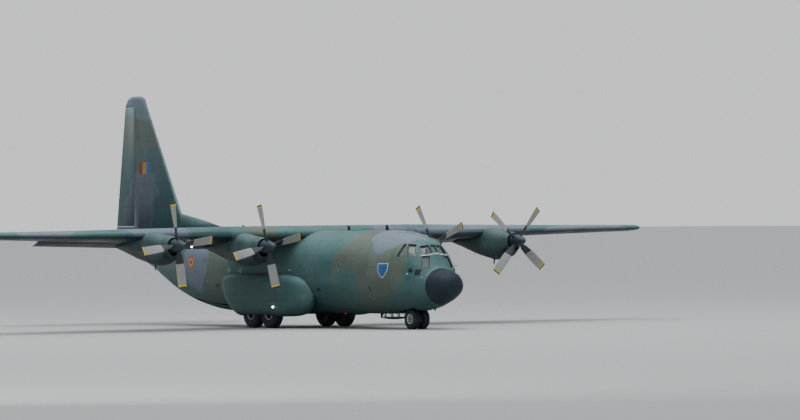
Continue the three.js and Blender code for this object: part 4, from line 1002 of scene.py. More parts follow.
# Radius, chord, thickness, pitch in degrees
BLADE_STATIONS = np.array([
    (0.24, 0.15, 0.15, 50), (0.40, 0.22, 0.135, 47.5), (0.48, 0.305, 0.118, 46), (0.70, 0.355, 0.100, 42),
    (0.90, 0.396, 0.082, 38), (1.10, 0.412, 0.052, 33), (1.30, 0.421, 0.044, 29), (1.55, 0.427, 0.038, 25),
    (1.80, 0.428, 0.031, 21), (1.95, 0.420, 0.025, 19), (2.02, 0.408, 0.021, 17.5), (2.05, 0.390, 0.016, 17),
])
# Spinner and hub in one: radius, and place along from the blades
SPINNER = [(0.0, -0.638), (0.035, -0.630), (0.062, -0.612), (0.105, -0.562), (0.150, -0.508), (0.192, -0.418),
           (0.226, -0.328), (0.258, -0.210), (0.284, -0.092), (0.303, 0.080), (0.320, 0.262), (0.300, 0.268),
           (0.064, 0.268), (0.064, 0.05), (0.0, 0.05)]


def blade_rings(hub, angle):
    """Rings of a blade with a rounded nose and a thin tail, and each ring's share of the radius."""
    outward = Vector((math.sin(angle), 0, math.cos(angle)))
    across = Vector((math.cos(angle), 0, -math.sin(angle)))
    stations, *columns = BLADE_STATIONS.T
    ring_points = 20
    rings, shares = [], []
    for radius in np.linspace(stations[0], stations[-1], 40):
        chord, thick, pitch = (np.interp(radius, stations, column) for column in columns)
        pitch = math.radians(pitch)
        chordwise = across * math.cos(pitch) + Vector((0, math.sin(pitch), 0))
        through = outward.cross(chordwise)
        roundness = min(1.0, max(0.0, (thick / chord - 0.15) / 0.7))
        ring = []
        for k in range(ring_points):
            t = 2 * math.pi * (k + 0.5) / ring_points
            along, up = math.cos(t), math.sin(t)
            taper = 1 - (1 - roundness) * 0.45 * (along + 1) / 2
            ring.append(place(*(hub + outward * radius + chordwise * (chord / 2 * along)
                                + through * (thick / 2 * up * taper))))
        rings.append(ring)
        shares.append(radius / PROPELLER_R)
    return rings, shares


def propeller(number, x, z, first):
    hub = Vector((x, PROPELLER_Y, z))
    points, faces, shares = [], [], []
    for turn in range(4):
        rings, ring_shares = blade_rings(hub, math.radians(first + 90 * turn))
        start = len(points)
        points += [p for ring in rings for p in ring]
        shares += [s for s, ring in zip(ring_shares, rings) for _ in ring]
        faces += [tuple(start + i for i in face) for face in ring_faces(len(rings), len(rings[0]))]
    blades = mesh_object(f"propeller_{number}_blades", points, faces, 50)
    attribute = blades.data.attributes.new("blade_share", "FLOAT", "POINT")
    attribute.data.foreach_set("value", np.array(shares, dtype=np.float32))
    shape = bmesh.new()
    shape.from_mesh(blades.data)
    bmesh.ops.recalc_face_normals(shape, faces=shape.faces)
    shape.to_mesh(blades.data)
    shape.free()
    dress(blades, BLADE, f"propeller_{number}", "blade_paint")
    spinner = joined(f"propeller_{number}_spinner", [lathe(SPINNER, hub, (0, 1, 0), 64)], 35)
    dress(spinner, SPINNER_PAINT, f"propeller_{number}", "blade_paint", f"propeller_{number}")


for engine in ENGINES:
    propeller(*engine)

# Wheels


MAIN_WHEEL = {"radius": 0.71, "width": 0.51, "rim": 0.30, "hub": 0.15}
NOSE_WHEEL = {"radius": 0.495, "width": 0.33, "rim": 0.215, "hub": 0.11}
MAIN_WHEEL_X = 2.175
NOSE_WHEEL_X = 0.28
NOSE_AXLE_Y = -9.77


def wheel_parts(centre, size, side):
    """Tyre and rim profiles turned about the axle; side is the outer face's direction."""
    radius, width, rim, hub_half = (size[key] for key in ("radius", "width", "rim", "hub"))
    half = width / 2
    grooves = []
    for at_share in (-0.42, -0.14, 0.14, 0.42):
        t = at_share * width * 0.72
        grooves += [(radius * 0.996, t - 0.016), (radius * 0.978, t - 0.010), (radius * 0.978, t + 0.010),
                    (radius * 0.996, t + 0.016)]
    tyre = [(rim, -half * 0.70), (rim * 1.06, -half * 0.86), (radius * 0.66, -half * 0.985),
            (radius * 0.80, -half), (radius * 0.90, -half * 0.92), (radius * 0.965, -half * 0.74),
            (radius * 0.99, -half * 0.52)]
    tyre = tyre + grooves + [(r, -t) for r, t in reversed(tyre)]
    bead = rim * 1.01
    face = half * 0.62
    rim_profile = [
        (0.062, -hub_half), (rim * 0.36, -hub_half), (rim * 0.42, -face * 0.45), (rim * 0.80, -face * 0.55),
        (rim * 0.90, -face), (bead, -half * 0.80), (bead, half * 0.80), (rim * 0.90, face),
        (rim * 0.80, face * 0.55), (rim * 0.42, face * 0.45), (rim * 0.36, hub_half), (0.062, hub_half),
    ]
    axis = (side, 0, 0)
    return lathe(tyre, centre, axis, 72), lathe(rim_profile, centre, axis, 48)


def wheel_bolts(centre, ring_radius, along, count, size, axis_side):
    """Bolt heads in a ring on a wheel's face."""
    parts = []
    for k in range(count):
        a = 2 * math.pi * k / count
        x = centre[0] + axis_side * along
        y = centre[1] + ring_radius * math.cos(a)
        z = centre[2] + ring_radius * math.sin(a)
        parts.append(tube([(x - axis_side * 0.02, y, z), (x + axis_side * size, y, z)], size, 6))
    return parts


def flange_ring(centre, width, inner, outer, side):
    """The bright flange that holds the tyre's bead on the wheel's outer face."""
    half = width / 2
    profile = [(inner, half * 0.62), (outer, half * 0.80), (outer + 0.006, half * 0.90),
               (outer - 0.008, half * 0.97), (inner + 0.008, half * 0.90), (inner - 0.004, half * 0.76)]
    return lathe(profile, centre, (side, 0, 0), 48)


for name, side in SIDES.items():
    for end, y in (("front", -0.762), ("rear", 0.762)):
        body = f"main_wheel_{end}_{name}"
        centre = (side * MAIN_WHEEL_X, y, MAIN_WHEEL["radius"])
        tyre, rim = wheel_parts(centre, MAIN_WHEEL, side)
        dress(joined(body + "_tyre", [tyre], 30), TYRE, body, "tyre_rubber", body)
        bolts = wheel_bolts(centre, 0.17, 0.085, 10, 0.014, side)
        dress(joined(body + "_rim", [rim, *bolts], 30), DARK_RIM, body, "tyre_rubber")
        ring = flange_ring(centre, MAIN_WHEEL["width"], 0.262, 0.300, side)
        dress(joined(body + "_flange", [ring], 30), PALE_PAINT, body, "tyre_rubber")

nose_tyres, nose_rims, nose_rings = [], [], []
axle_z = NOSE_WHEEL["radius"]
for side in (-1, 1):
    centre = (side * NOSE_WHEEL_X, NOSE_AXLE_Y, axle_z)
    tyre, rim = wheel_parts(centre, NOSE_WHEEL, side)
    nose_tyres.append(tyre)
    nose_rims += [rim, *wheel_bolts(centre, 0.12, 0.06, 8, 0.011, side)]
    nose_rings.append(flange_ring(centre, NOSE_WHEEL["width"], 0.190, 0.240, side))
    for k in range(4):
        a = math.pi * (k + 0.5) / 2
        bar = [Vector((side * 0.40, NOSE_AXLE_Y + r * math.cos(a), axle_z + r * math.sin(a)))
               for r in (0.07, 0.19)]
        nose_rings.append(tube(bar, 0.013, 8))
nose_rims.append(tube([(-0.34, NOSE_AXLE_Y, axle_z), (0.34, NOSE_AXLE_Y, axle_z)], 0.05, 24))
dress(joined("nose_wheel_tyres", nose_tyres, 30), TYRE, "nose_wheels", "tyre_rubber", "nose_wheels")
dress(joined("nose_wheel_rims", nose_rims, 30), RIM_PAINT, "nose_wheels", "tyre_rubber")
dress(joined("nose_wheel_flanges", nose_rings, 30), PALE_PAINT, "nose_wheels", "tyre_rubber")

# Flight deck: seats, controls and instruments


def cushion(name, centre, size, lean, bulge):
    """A crowned pad: a fine block with swollen faces and soft corners, leaning back about its middle."""
    shape = bmesh.new()
    bmesh.ops.create_cube(shape, size=2.0)
    bmesh.ops.subdivide_edges(shape, edges=shape.edges, cuts=9, use_grid_fill=True)
    turn = Matrix.Rotation(lean, 3, "X")
    for vert in shape.verts:
        x, y, z = vert.co
        corner = 1 - 0.10 * (x**4 * y**4 + y**4 * z**4 + x**4 * z**4)
        swollen = Vector((x * corner, y * corner, z * corner))
        swollen.z *= 1 + bulge * (1 - x * x) * (1 - y * y)
        seam = 0.05 * math.exp(-((abs(x) - 0.55) / 0.06) ** 2)
        swollen.z *= 1 - seam * (1 - y * y)
        half = Vector((swollen.x * size[0] / 2, swollen.y * size[1] / 2, swollen.z * size[2] / 2))
        vert.co = place(*(Vector(centre) + turn @ half))
    pad = from_bmesh(name, shape, 80, True)
    dress(pad, CLOTH, "airframe", "seat_cloth")


BACK_LEAN = math.radians(-13)
SEAT_X = 0.52
for name, side in SIDES.items():
    frame_copy = from_bmesh(f"seat_{name}_frame", merged_copy(f"seat_{name}"), 30)
    dress(frame_copy, DARK, "airframe", "seat_cloth", f"seat_{name}")
    x = side * SEAT_X
    cushion(f"seat_{name}_pan_cushion", (x, -10.09, 2.745), (0.46, 0.38, 0.11), 0.0, 0.25)
    cushion(f"seat_{name}_back_cushion", (x, -9.865, 3.06), (0.44, 0.10, 0.56), BACK_LEAN, 0.05)
    cushion(f"seat_{name}_head_cushion", (x, -9.775, 3.45), (0.26, 0.10, 0.20), BACK_LEAN, 0.05)
    rails = []
    for out in (-0.27, 0.27):
        arm = [(x + out, -9.80, 2.80), (x + out, -9.82, 2.96), (x + out, -10.12, 2.97)]
        rails.append(tube(arm, 0.022, 10))
        rails.append(tube([(x + out * 0.3, -9.70, 3.20), (x + out * 0.3, -9.745, 3.40)], 0.012, 8))
    dress(joined(f"seat_{name}_arm_rests", rails, 40), DARK, "airframe", "dark_trim")


def control_wheel(x):
    """A column from the floor with a half wheel facing the seat."""
    parts = [tube([(x, -10.66, 2.17), (x, -10.60, 2.70), (x, -10.53, 2.90)], [0.045, 0.035, 0.03], 12)]
    hub = Vector((x, -10.52, 2.92))
    parts.append(tube([hub, hub + Vector((0, 0.06, 0.02))], 0.05, 14))
    rim = [hub + Vector((0.17 * math.sin(a), 0.05, -0.17 * math.cos(a) + 0.03))
           for a in np.linspace(-2.3, 2.3, 19)]
    parts.append(tube(rim, 0.014, 8))
    parts += [tube([hub + Vector((0, 0.05, 0)), rim[k]], 0.012, 8) for k in (4, 14)]
    return parts


controls = control_wheel(-SEAT_X) + control_wheel(SEAT_X)
controls.append(box((-0.13, -10.78, 2.17), (0.13, -10.30, 2.72)))
controls.append(box((-0.12, -10.74, 2.71), (0.12, -10.36, 2.75)))
controls.append(box((-0.84, -11.20, 3.395), (0.84, -10.90, 3.42)))
dress(joined("flight_controls", controls, 40), DARK, "airframe", "dark_trim")
levers = []
for k in range(4):
    x = -0.075 + 0.05 * k
    knob_y = -10.56 + 0.02 * k
    levers.append(tube([(x, -10.60, 2.74), (x, knob_y, 2.88)], 0.007, 6))
    levers.append(tube([(x - 0.014, knob_y, 2.88), (x + 0.014, knob_y, 2.88)], 0.014, 10))
    levers.append(tube([(x, -10.46, 2.74), (x, -10.44, 2.82)], 0.010, 8))
dress(joined("engine_levers", levers, 40), PALE_PAINT, "airframe", "dark_trim")
side_consoles = [box((x - 0.10, -10.85, 2.17), (x + 0.10, -10.15, 2.62)) for x in (-0.98, 0.98)]
dress(joined("side_consoles", side_consoles, 30), DARK, "airframe", "dark_trim")

# Small fittings set out in rows by one Geometry Nodes tree


def fitting_tree():
    """Sets a shape on every point, turned to face the way and to the size kept on the point."""
    tree = bpy.data.node_groups.new("repeated fitting", "GeometryNodeTree")
    tree.interface.new_socket("Geometry", in_out="INPUT", socket_type="NodeSocketGeometry")
    tree.interface.new_socket("Shape", in_out="INPUT", socket_type="NodeSocketObject")
    tree.interface.new_socket("Finish", in_out="INPUT", socket_type="NodeSocketMaterial")
    tree.interface.new_socket("Geometry", in_out="OUTPUT", socket_type="NodeSocketGeometry")
    given = tree.nodes.new("NodeGroupInput").outputs
    out = tree.nodes.new("NodeGroupOutput").inputs
    shape = node(tree, "GeometryNodeObjectInfo", {"Object": given["Shape"]}).outputs["Geometry"]
    facing = node(tree, "GeometryNodeInputNamedAttribute", {"Name": "facing"}, data_type="FLOAT_VECTOR")
    size = node(tree, "GeometryNodeInputNamedAttribute", {"Name": "size"}, data_type="FLOAT")
    turned = node(tree, "FunctionNodeAlignRotationToVector", {"Vector": facing.outputs["Attribute"]},
                  axis="Z")
    inputs = {"Points": given["Geometry"], "Instance": shape, "Rotation": turned.outputs[0],
              "Scale": size.outputs["Attribute"]}
    set_out = node(tree, "GeometryNodeInstanceOnPoints", inputs).outputs[0]
    real = node(tree, "GeometryNodeRealizeInstances", {0: set_out}).outputs[0]
    inputs = {"Geometry": real, "Material": given["Finish"]}
    tree.links.new(node(tree, "GeometryNodeSetMaterial", inputs).outputs[0], out[0])
    return tree


FITTING_TREE = fitting_tree()


def fitting_box(low, high):
    """A box round the model frame's origin, where a fitting's foot is."""
    return box((low[0], low[1] + ORIGIN_Y, low[2]), (high[0], high[1] + ORIGIN_Y, high[2]))


def turned_fitting(profile, sides):
    """A profile of (radius, height) turned upright on the model frame's origin."""
    return lathe(profile, (0, ORIGIN_Y, 0), (0, 0, 1), sides)


def ring_shape(radius, thick, rise, lean):
    """A small eye: a ring of round bar, leaning off the surface it is fixed to."""
    path = [(radius * math.cos(a), ORIGIN_Y + radius * math.sin(a) * math.cos(lean),
             rise + radius * math.sin(a) * math.sin(lean)) for a in np.linspace(0, 2 * math.pi, 16)]
    return tube(path, thick, 5, False)


SHAPES = {
    "screw_head": [turned_fitting([(0.0, 0.0035), (0.006, 0.003), (0.009, 0.0), (0.009, -0.003),
                                   (0.0, -0.003)], 8)],
    "bolt_head": [turned_fitting([(0.0, 0.016), (0.014, 0.016), (0.016, 0.012), (0.016, -0.006),
                                  (0.0, -0.006)], 6)],
    "tie_down": [turned_fitting([(0.0, 0.006), (0.05, 0.006), (0.062, 0.0), (0.062, -0.006),
                                 (0.0, -0.006)], 14),
                 ring_shape(0.034, 0.007, 0.010, 0.25)],
    "roller": [tube([(-0.075, ORIGIN_Y, 0.028), (0.075, ORIGIN_Y, 0.028)], 0.026, 12),
               fitting_box((-0.095, -0.035, 0.0), (-0.082, 0.035, 0.040)),
               fitting_box((0.082, -0.035, 0.0), (0.095, 0.035, 0.040))],
    "dial": [turned_fitting([(0.0, 0.004), (0.030, 0.004), (0.032, 0.014), (0.040, 0.014),
                             (0.042, -0.004), (0.0, -0.004)], 18)],
    "pointer": [fitting_box((-0.003, -0.004, 0.004), (0.003, 0.024, 0.007))],
    "static_wick": [turned_fitting([(0.0, 0.17), (0.003, 0.168), (0.005, 0.05), (0.012, 0.045),
                                    (0.012, -0.02), (0.0, -0.02)], 6)],
    "filler_cap": [turned_fitting([(0.0, 0.010), (0.055, 0.010), (0.062, 0.006), (0.075, 0.005),
                                   (0.078, -0.006), (0.0, -0.006)], 18),
                   fitting_box((-0.008, -0.035, 0.008), (0.008, 0.035, 0.017))],
}
TEMPLATES = {label: joined("shape_" + label, parts, 40) for label, parts in SHAPES.items()}


def fittings(name, shape, material, body, slot, points, facings, size=1.0):
    """One piece made of a shape repeated on points in the model's frame."""
    mesh = bpy.data.meshes.new(name)
    mesh.from_pydata([tuple(p) for p in points], [], [])
    facing = mesh.attributes.new("facing", "FLOAT_VECTOR", "POINT")
    facing.data.foreach_set("vector", np.array(facings, dtype=np.float32).ravel())
    sizes = mesh.attributes.new("size", "FLOAT", "POINT")
    sizes.data.foreach_set("value", np.full(len(points), size, dtype=np.float32))
    obj = bpy.data.objects.new(name, mesh)
    bpy.context.scene.collection.objects.link(obj)
    modifier = obj.modifiers.new("fitting", "NODES")
    modifier.node_group = FITTING_TREE
    chosen = {"Shape": TEMPLATES[shape], "Finish": material}
    for socket in FITTING_TREE.interface.items_tree:
        if socket.in_out == "INPUT" and socket.name in chosen:
            modifier[socket.identifier] = chosen[socket.name]
    evaluated = obj.evaluated_get(bpy.context.evaluated_depsgraph_get())
    made = bpy.data.meshes.new_from_object(evaluated)
    obj.modifiers.clear()
    obj.data = made
    made.name = name
    dress(obj, material, body, slot)


def facing_all(points, way):
    return [way] * len(points)


def skin_row(form, y, angles, lift=0.0):
    points = form.around(y, angles, lift)
    return list(points), list(form.normals(points))


# Screws round the radome and crew section, and round each cowl
RADOME_JOINT_Y = -11.745
points, facings = skin_row(HULL, RADOME_JOINT_Y, full_turn(120))
fittings("radome_joint_screws", "screw_head", FRAME_PAINT, "airframe", "camouflage", points, facings)
for number, form in NACELLES.items():
    points, facings = [], []
    for y in (0.645, 1.925, 3.125):
        row = skin_row(form, y, full_turn(44), 0.007)
        points += row[0]
        facings += row[1]
    fittings(f"nacelle_{number}_cowl_screws", "bolt_head", SKIN_POD, "airframe", "camouflage", points,
             facings, 0.6)

# Cargo floor: rollers in four rows and tie-down rings between them
FLOOR_Z = 1.03
ROLLER_ROWS = (-0.86, -0.34, 0.34, 0.86)
points = [place(x, y, FLOOR_Z) for x in ROLLER_ROWS for y in np.arange(-7.7, 3.7, 0.24)]
fittings("cargo_floor_rollers", "roller", STEEL, "airframe", "floor_plate", points,
         facing_all(points, (0, 0, 1)))
points = [place(x, y, FLOOR_Z) for x in (-1.03, -0.60, 0.0, 0.60, 1.03) for y in np.arange(-7.6, 3.7, 0.5)]
fittings("cargo_floor_tie_downs", "tie_down", STEEL, "airframe", "floor_plate", points,
         facing_all(points, (0, 0, 1)))
RAMP_FRONT, RAMP_BACK = np.array([3.966, FLOOR_Z]), np.array([7.10, 1.30])
ramp_way = (RAMP_BACK - RAMP_FRONT) / np.linalg.norm(RAMP_BACK - RAMP_FRONT)
ramp_normal = (0, -ramp_way[1], ramp_way[0])
points = [place(x, *(RAMP_FRONT + (RAMP_BACK - RAMP_FRONT) * t)) for x in ROLLER_ROWS
          for t in np.linspace(0.08, 0.92, 12)]
fittings("ramp_rollers", "roller", STEEL, "ramp", "floor_plate", points, facing_all(points, ramp_normal))

# Instrument dials on the slanted panel, and their pointers
PANEL_LOW, PANEL_HIGH = np.array([-10.76, 3.16]), np.array([-10.96, 3.40])
panel_way = (PANEL_HIGH - PANEL_LOW) / np.linalg.norm(PANEL_HIGH - PANEL_LOW)
panel_normal = (0, panel_way[1], -panel_way[0])
points = [place(x, *(PANEL_LOW + (PANEL_HIGH - PANEL_LOW) * t)) for x in np.arange(-0.77, 0.78, 0.11)
          for t in (0.2, 0.5, 0.8)]
facings = facing_all(points, panel_normal)
fittings("panel_dials", "dial", GEAR_PAINT, "airframe", "dark_trim", points, facings)
fittings("panel_pointers", "pointer", PALE_PAINT, "airframe", "dark_trim", points, facings)

# Wing and tail surfaces: caps, bolts and wicks

# Span, quarter-chord line along, chord, height, thickness ratio
WING_ROWS = np.array([(0, -1.19, 4.88, 4.50, 0.175), (5.59, -1.19, 4.88, 4.50, 0.175),
                      (20.205, -1.19, 2.48, 4.66, 0.12)])
WING_TILT = math.radians(3)
# Share of the chord, and the top and bottom there as shares of the thickness
WING_SECTION = np.array([(0, 0, 0), (0.02, 0.23, -0.18), (0.08, 0.43, -0.31), (0.2, 0.57, -0.39),
                         (0.38, 0.60, -0.40), (0.6, 0.47, -0.30), (0.8, 0.26, -0.15), (1.0, 0.02, -0.02)])


def wing_point(x, share, upper=True):
    """A full-size point on the wing's top or bottom, at a span place and share of the chord."""
    quarter, chord, height, ratio = (np.interp(abs(x), WING_ROWS[:, 0], WING_ROWS[:, c]) for c in range(1, 5))
    up = np.interp(share, WING_SECTION[:, 0], WING_SECTION[:, 1 if upper else 2]) * ratio * chord
    back = share * chord - chord / 4
    y = quarter + back * math.cos(WING_TILT) + up * math.sin(WING_TILT)
    return Vector((x, y, height - back * math.sin(WING_TILT) + up * math.cos(WING_TILT)))


points = [place(*wing_point(side * x, 0.42)) for side in (-1, 1) for x in (3.6, 7.2, 9.0, 12.6, 15.5)]
fittings("fuel_filler_caps", "filler_cap", FRAME_PAINT, "airframe", "camouflage", points,
         facing_all(points, (0, 0.05, 1)))
WING_JOINT_X = 5.56
points, facings = [], []
for side in (-1, 1):
    for upper in (True, False):
        for share in np.linspace(0.08, 0.66, 26):
            points.append(place(*wing_point(side * WING_JOINT_X, share, upper)))
            facings.append((0, 0, 1 if upper else -1))
fittings("wing_joint_bolts", "bolt_head", SKIN_WING, "airframe", "camouflage", points, facings, 0.8)

for name, side in SIDES.items():
    points = [place(*wing_point(side * x, 0.992)) for x in (15.2, 16.6, 18.0, 19.3)]
    fittings(f"aileron_{name}_wicks", "static_wick", DARK, f"aileron_{name}", "dark_trim", points,
             facing_all(points, (0, 1, -0.06)))
STABILIZER_SPAN = 8.025


def elevator_edge(x):
    """Place along of the elevators' trailing edge at a span place."""
    return 13.56 + 0.615 * x / STABILIZER_SPAN + 0.74 * (3.12 - 1.50 * x / STABILIZER_SPAN)


points = [place(side * x, elevator_edge(x), 4.52) for side in (-1, 1) for x in (2.6, 4.2, 5.8, 7.2)]
fittings("elevator_wicks", "static_wick", DARK, "elevators", "dark_trim", points,
         facing_all(points, (0, 1, 0)))
# The rudder's trailing edge: heights of its ends and their places along
RUDDER_EDGE = ((4.6, 11.15), (11.38 + 0.745 * 6.55, 13.87 + 0.745 * 1.98))
points = [place(0, np.interp(z, *RUDDER_EDGE), z) for z in (7.4, 8.6, 9.8, 10.8)]
fittings("rudder_wicks", "static_wick", DARK, "rudder", "dark_trim", points, facing_all(points, (0, 1, 0)))

# Hold: arch ribs inside the skin

ribs = []
arch = np.radians(np.linspace(-36, 216, 44))
for y in np.arange(-7.9, 3.7, 0.5):
    section = [(y - 0.02, -0.088), (y + 0.02, -0.088), (y + 0.02, -0.150), (y - 0.02, -0.150)]
    rows = [HULL.around(at, arch, lift) for at, lift in section]
    ribs.append(loft([[row[k] for row in rows] for k in range(len(arch))]))
dress(joined("hold_ribs", ribs, 30), HOLD_PAINT, "airframe", "floor_plate")
rails = [tube([(x, -7.9, z), (x, 3.6, z)], 0.03, 8)
         for x, z in ((-1.93, 1.75), (1.93, 1.75), (-1.96, 2.55), (1.96, 2.55))]
dress(joined("hold_side_rails", rails, 30), HOLD_PAINT, "airframe", "floor_plate")

# Undercarriage: nose door with its brackets, pipes of the nose leg

# The plate hangs below the fuselage: half width, front edge, height of its flat top
DOOR_HALF, DOOR_FRONT, DOOR_Z = 0.33, -8.82, 0.558
door_rings = []
for x in (-0.33, -0.28, -0.16, 0.0, 0.16, 0.28, 0.33):
    back = -7.25 + 0.33 * min(1.0, (DOOR_HALF - abs(x)) / 0.21)
    crown = 1 - 0.55 * (x / DOOR_HALF) ** 2
    share = np.linspace(0, 1, 15)
    along = DOOR_FRONT + (back - DOOR_FRONT) * share
    dip = 0.018 + 0.090 * crown * (1 - (2 * share - 1) ** 2)
    top = [place(x, y, DOOR_Z) for y in along]
    door_rings.append(top + [place(x, y, DOOR_Z - d) for y, d in zip(along[::-1], dip[::-1])])
dress(joined("nose_door_plate", [loft(door_rings)], 50), DARK, "airframe", "dark_trim", "nose_gear_door_aft")
brackets = []
for x in (-0.2, 0.2):
    for y in (-8.60, -8.05, -7.50):
        brackets.append(box((x - 0.02, y - 0.045, 0.545), (x + 0.02, y + 0.045, 0.80)))
        brackets.append(tube([(x, y + 0.03, 0.57), (x, y + 0.24, 0.76)], 0.016, 8))
    brackets.append(tube([(x, -8.70, 0.575), (x, -7.40, 0.575)], 0.018, 8))
dress(joined("nose_door_brackets", brackets, 40), GEAR_PAINT, "airframe", "gear_metal")

pipes = [tube([(x, -9.62, 1.20), (x * 1.5, -9.56, 1.02), (x * 1.2, -9.60, 0.86), (x, -9.64, 0.70)], 0.011, 8)
         for x in (-0.07, 0.07)]
pipes.append(tube([(0, -9.60, 0.93), (0, -9.50, 0.80), (0, -9.60, 0.66)], 0.022, 8))
dress(joined("nose_leg_pipes", pipes, 40), STEEL, "nose_steering", "gear_metal")

# Pieces laid on curved skins


def offset_outline(outline, width):
    """A convex outline moved outward by a width."""
    points = np.array(outline, float)
    middle = points.mean(axis=0)
    ahead = np.roll(points, -1, axis=0)
    along = ahead - points
    normal = np.stack([along[:, 1], -along[:, 0]], axis=1)
    normal /= np.linalg.norm(normal, axis=1, keepdims=True)
    normal *= np.sign(((points - middle) * normal).sum(axis=1))[:, None]
    reach = (points * normal).sum(axis=1) + width
    before, before_reach = np.roll(normal, 1, axis=0), np.roll(reach, 1)
    return np.stack([np.linalg.solve([a, b], [c, d])
                     for a, b, c, d in zip(before, normal, before_reach, reach)])


def dense(outline, steps):
    points = np.array(outline, float)
    ahead = np.roll(points, -1, axis=0)
    return np.concatenate([a + (b - a) * np.linspace(0, 1, steps, endpoint=False)[:, None]
                           for a, b in zip(points, ahead)])


def circle(centre, radius):
    points = 24
    return [(centre[0] + radius * math.cos(a), centre[1] + radius * math.sin(a))
            for a in (2 * math.pi * k / points for k in range(points))]


# How far frames, and plates and discs, reach into the skin that they lie on
FRAME_SINK, PLATE_SINK = 0.006, 0.005


def skin_frame(outline, laid, way, inner, outer, rise, steps=8):
    """A raised band round an outline on a curved skin; inner and outer are its offsets."""
    edges = [(outer, -FRAME_SINK), (outer, rise), (inner, rise), (inner, -FRAME_SINK)]
    rows = [laid(dense(offset_outline(outline, width), steps), way, lift) for width, lift in edges]
    count = len(rows[0])
    faces = [(i * count + j, i * count + (j + 1) % count, (i + 1) % 4 * count + (j + 1) % count,
              (i + 1) % 4 * count + j) for i in range(4) for j in range(count)]
    return np.concatenate(rows), faces


def skin_plate(corners, laid, way, rise, steps=(6, 6)):
    """A thin plate laid on a curved skin between four flat corners."""
    a, b, c, d = (np.array(p, float) for p in corners)
    m, n = steps
    s, t = np.linspace(0, 1, m)[:, None, None], np.linspace(0, 1, n)[None, :, None]
    flat = ((1 - s) * (1 - t) * a + s * (1 - t) * b + s * t * c + (1 - s) * t * d).reshape(-1, 2)
    points = np.concatenate([laid(flat, way, rise), laid(flat, way, -PLATE_SINK)])
    half = m * n
    faces = []
    for i in range(m - 1):
        for j in range(n - 1):
            quad = (i * n + j, i * n + j + 1, (i + 1) * n + j + 1, (i + 1) * n + j)
            faces += [quad, tuple(half + k for k in reversed(quad))]
    edge = list(range(n)) + [i * n + n - 1 for i in range(1, m)]
    edge += [(m - 1) * n + j for j in range(n - 2, -1, -1)] + [i * n for i in range(m - 2, 0, -1)]
    for k, index in enumerate(edge):
        ahead = edge[(k + 1) % len(edge)]
        faces.append((index, ahead, half + ahead, half + index))
    return points, faces


def skin_disc(centre, radius, laid, way, rise, bulge):
    """A round plate on a curved skin, domed by bulge."""
    rows = [(radius, -PLATE_SINK), (radius, rise), (radius * 0.75, rise + bulge * 0.55),
            (radius * 0.4, rise + bulge * 0.9), (radius * 0.12, rise + bulge)]
    return loft([list(laid(circle(centre, r), way, lift)) for r, lift in rows])


def on_its_side(outline, side):
    """A (across, up) outline drawn on the port side, or mirrored for starboard."""
    return [(side * x, z) for x, z in outline]


# Flight deck windows

# Outlines full size: the side windows' as (along, up), the others' as (across, up)
SIDE_WINDOWS = [
    [(-10.64, 3.47), (-10.22, 3.47), (-10.23, 4.09), (-10.33, 4.09)],
    [(-11.11, 3.47), (-10.71, 3.47), (-10.39, 4.09), (-10.75, 4.07)],
]
CENTRE_WINDOW = [(-0.14, 3.69), (0.14, 3.69), (0.14, 4.04), (-0.14, 4.04)]
FRONT_WINDOW = [(0.21, 3.66), (0.72, 3.60), (0.64, 3.99), (0.21, 4.04)]
CHIN_WINDOW = [(0.60, 2.95), (0.93, 2.95), (0.78, 3.50), (0.38, 3.52)]

window_frames, window_seals = [], []


def rim_window(outline, laid, way, frame_edge, seal_edge):
    """A window's raised frame and the flatter seal within it, each out to its own offset."""
    window_frames.append(skin_frame(outline, laid, way, 0.004, frame_edge, 0.007))
    window_seals.append(skin_frame(outline, laid, way, seal_edge, 0.004, 0.003))


for side in SIDES.values():
    for outline in SIDE_WINDOWS:
        rim_window(outline, HULL.on_side, side, 0.034, -0.016)
    for outline in (FRONT_WINDOW, CHIN_WINDOW):
        rim_window(on_its_side(outline, side), HULL.on_front, None, 0.030, -0.014)
rim_window(CENTRE_WINDOW, HULL.on_front, None, 0.030, -0.014)
dress(joined("window_frames", window_frames, 50), FRAME_PAINT, "airframe", "camouflage")
dress(joined("window_seals", window_seals, 50), DARK, "airframe", "dark_trim")

sill = [(-0.16, 3.600), (0.16, 3.600), (0.16, 3.648), (-0.16, 3.648)]
sills = [skin_plate(sill, HULL.on_front, None, 0.010)]
for side in SIDES.values():
    sill = on_its_side([(0.19, 3.575), (0.79, 3.515), (0.79, 3.562), (0.19, 3.622)], side)
    sills.append(skin_plate(sill, HULL.on_front, None, 0.010, (12, 4)))
dress(joined("window_sills", sills, 50), PALE_PAINT, "airframe", "camouflage")


def wiper(side):
    """An arm on a spindle with a blade resting on the front window."""
    flat = np.array([(0.52, 3.58), (0.47, 3.70), (0.42, 3.83)]) * (side, 1)
    arm = HULL.on_front(flat, None, 0.035)
    blade = HULL.on_front(np.array([(0.49, 3.66), (0.44, 3.80), (0.38, 3.96)]) * (side, 1), None, 0.018)
    full = [[Vector(p) / SCALE + Vector((0, ORIGIN_Y, 0)) for p in row] for row in (arm, blade)]
    spindle = HULL.on_front(np.array([(0.52, 3.58)]) * (side, 1), None, 0.0)[0]
    foot = Vector(spindle) / SCALE + Vector((0, ORIGIN_Y, 0))
    return [tube(full[0], 0.008, 8), tube(full[1], 0.012, 8), tube([foot, full[0][0]], 0.018, 10),
            tube([full[0][2], full[1][1]], 0.006, 6)]


dress(joined("window_wipers", wiper(1) + wiper(-1), 40), DARK, "airframe", "dark_trim")

# Probes, ports and aerials on the fuselage


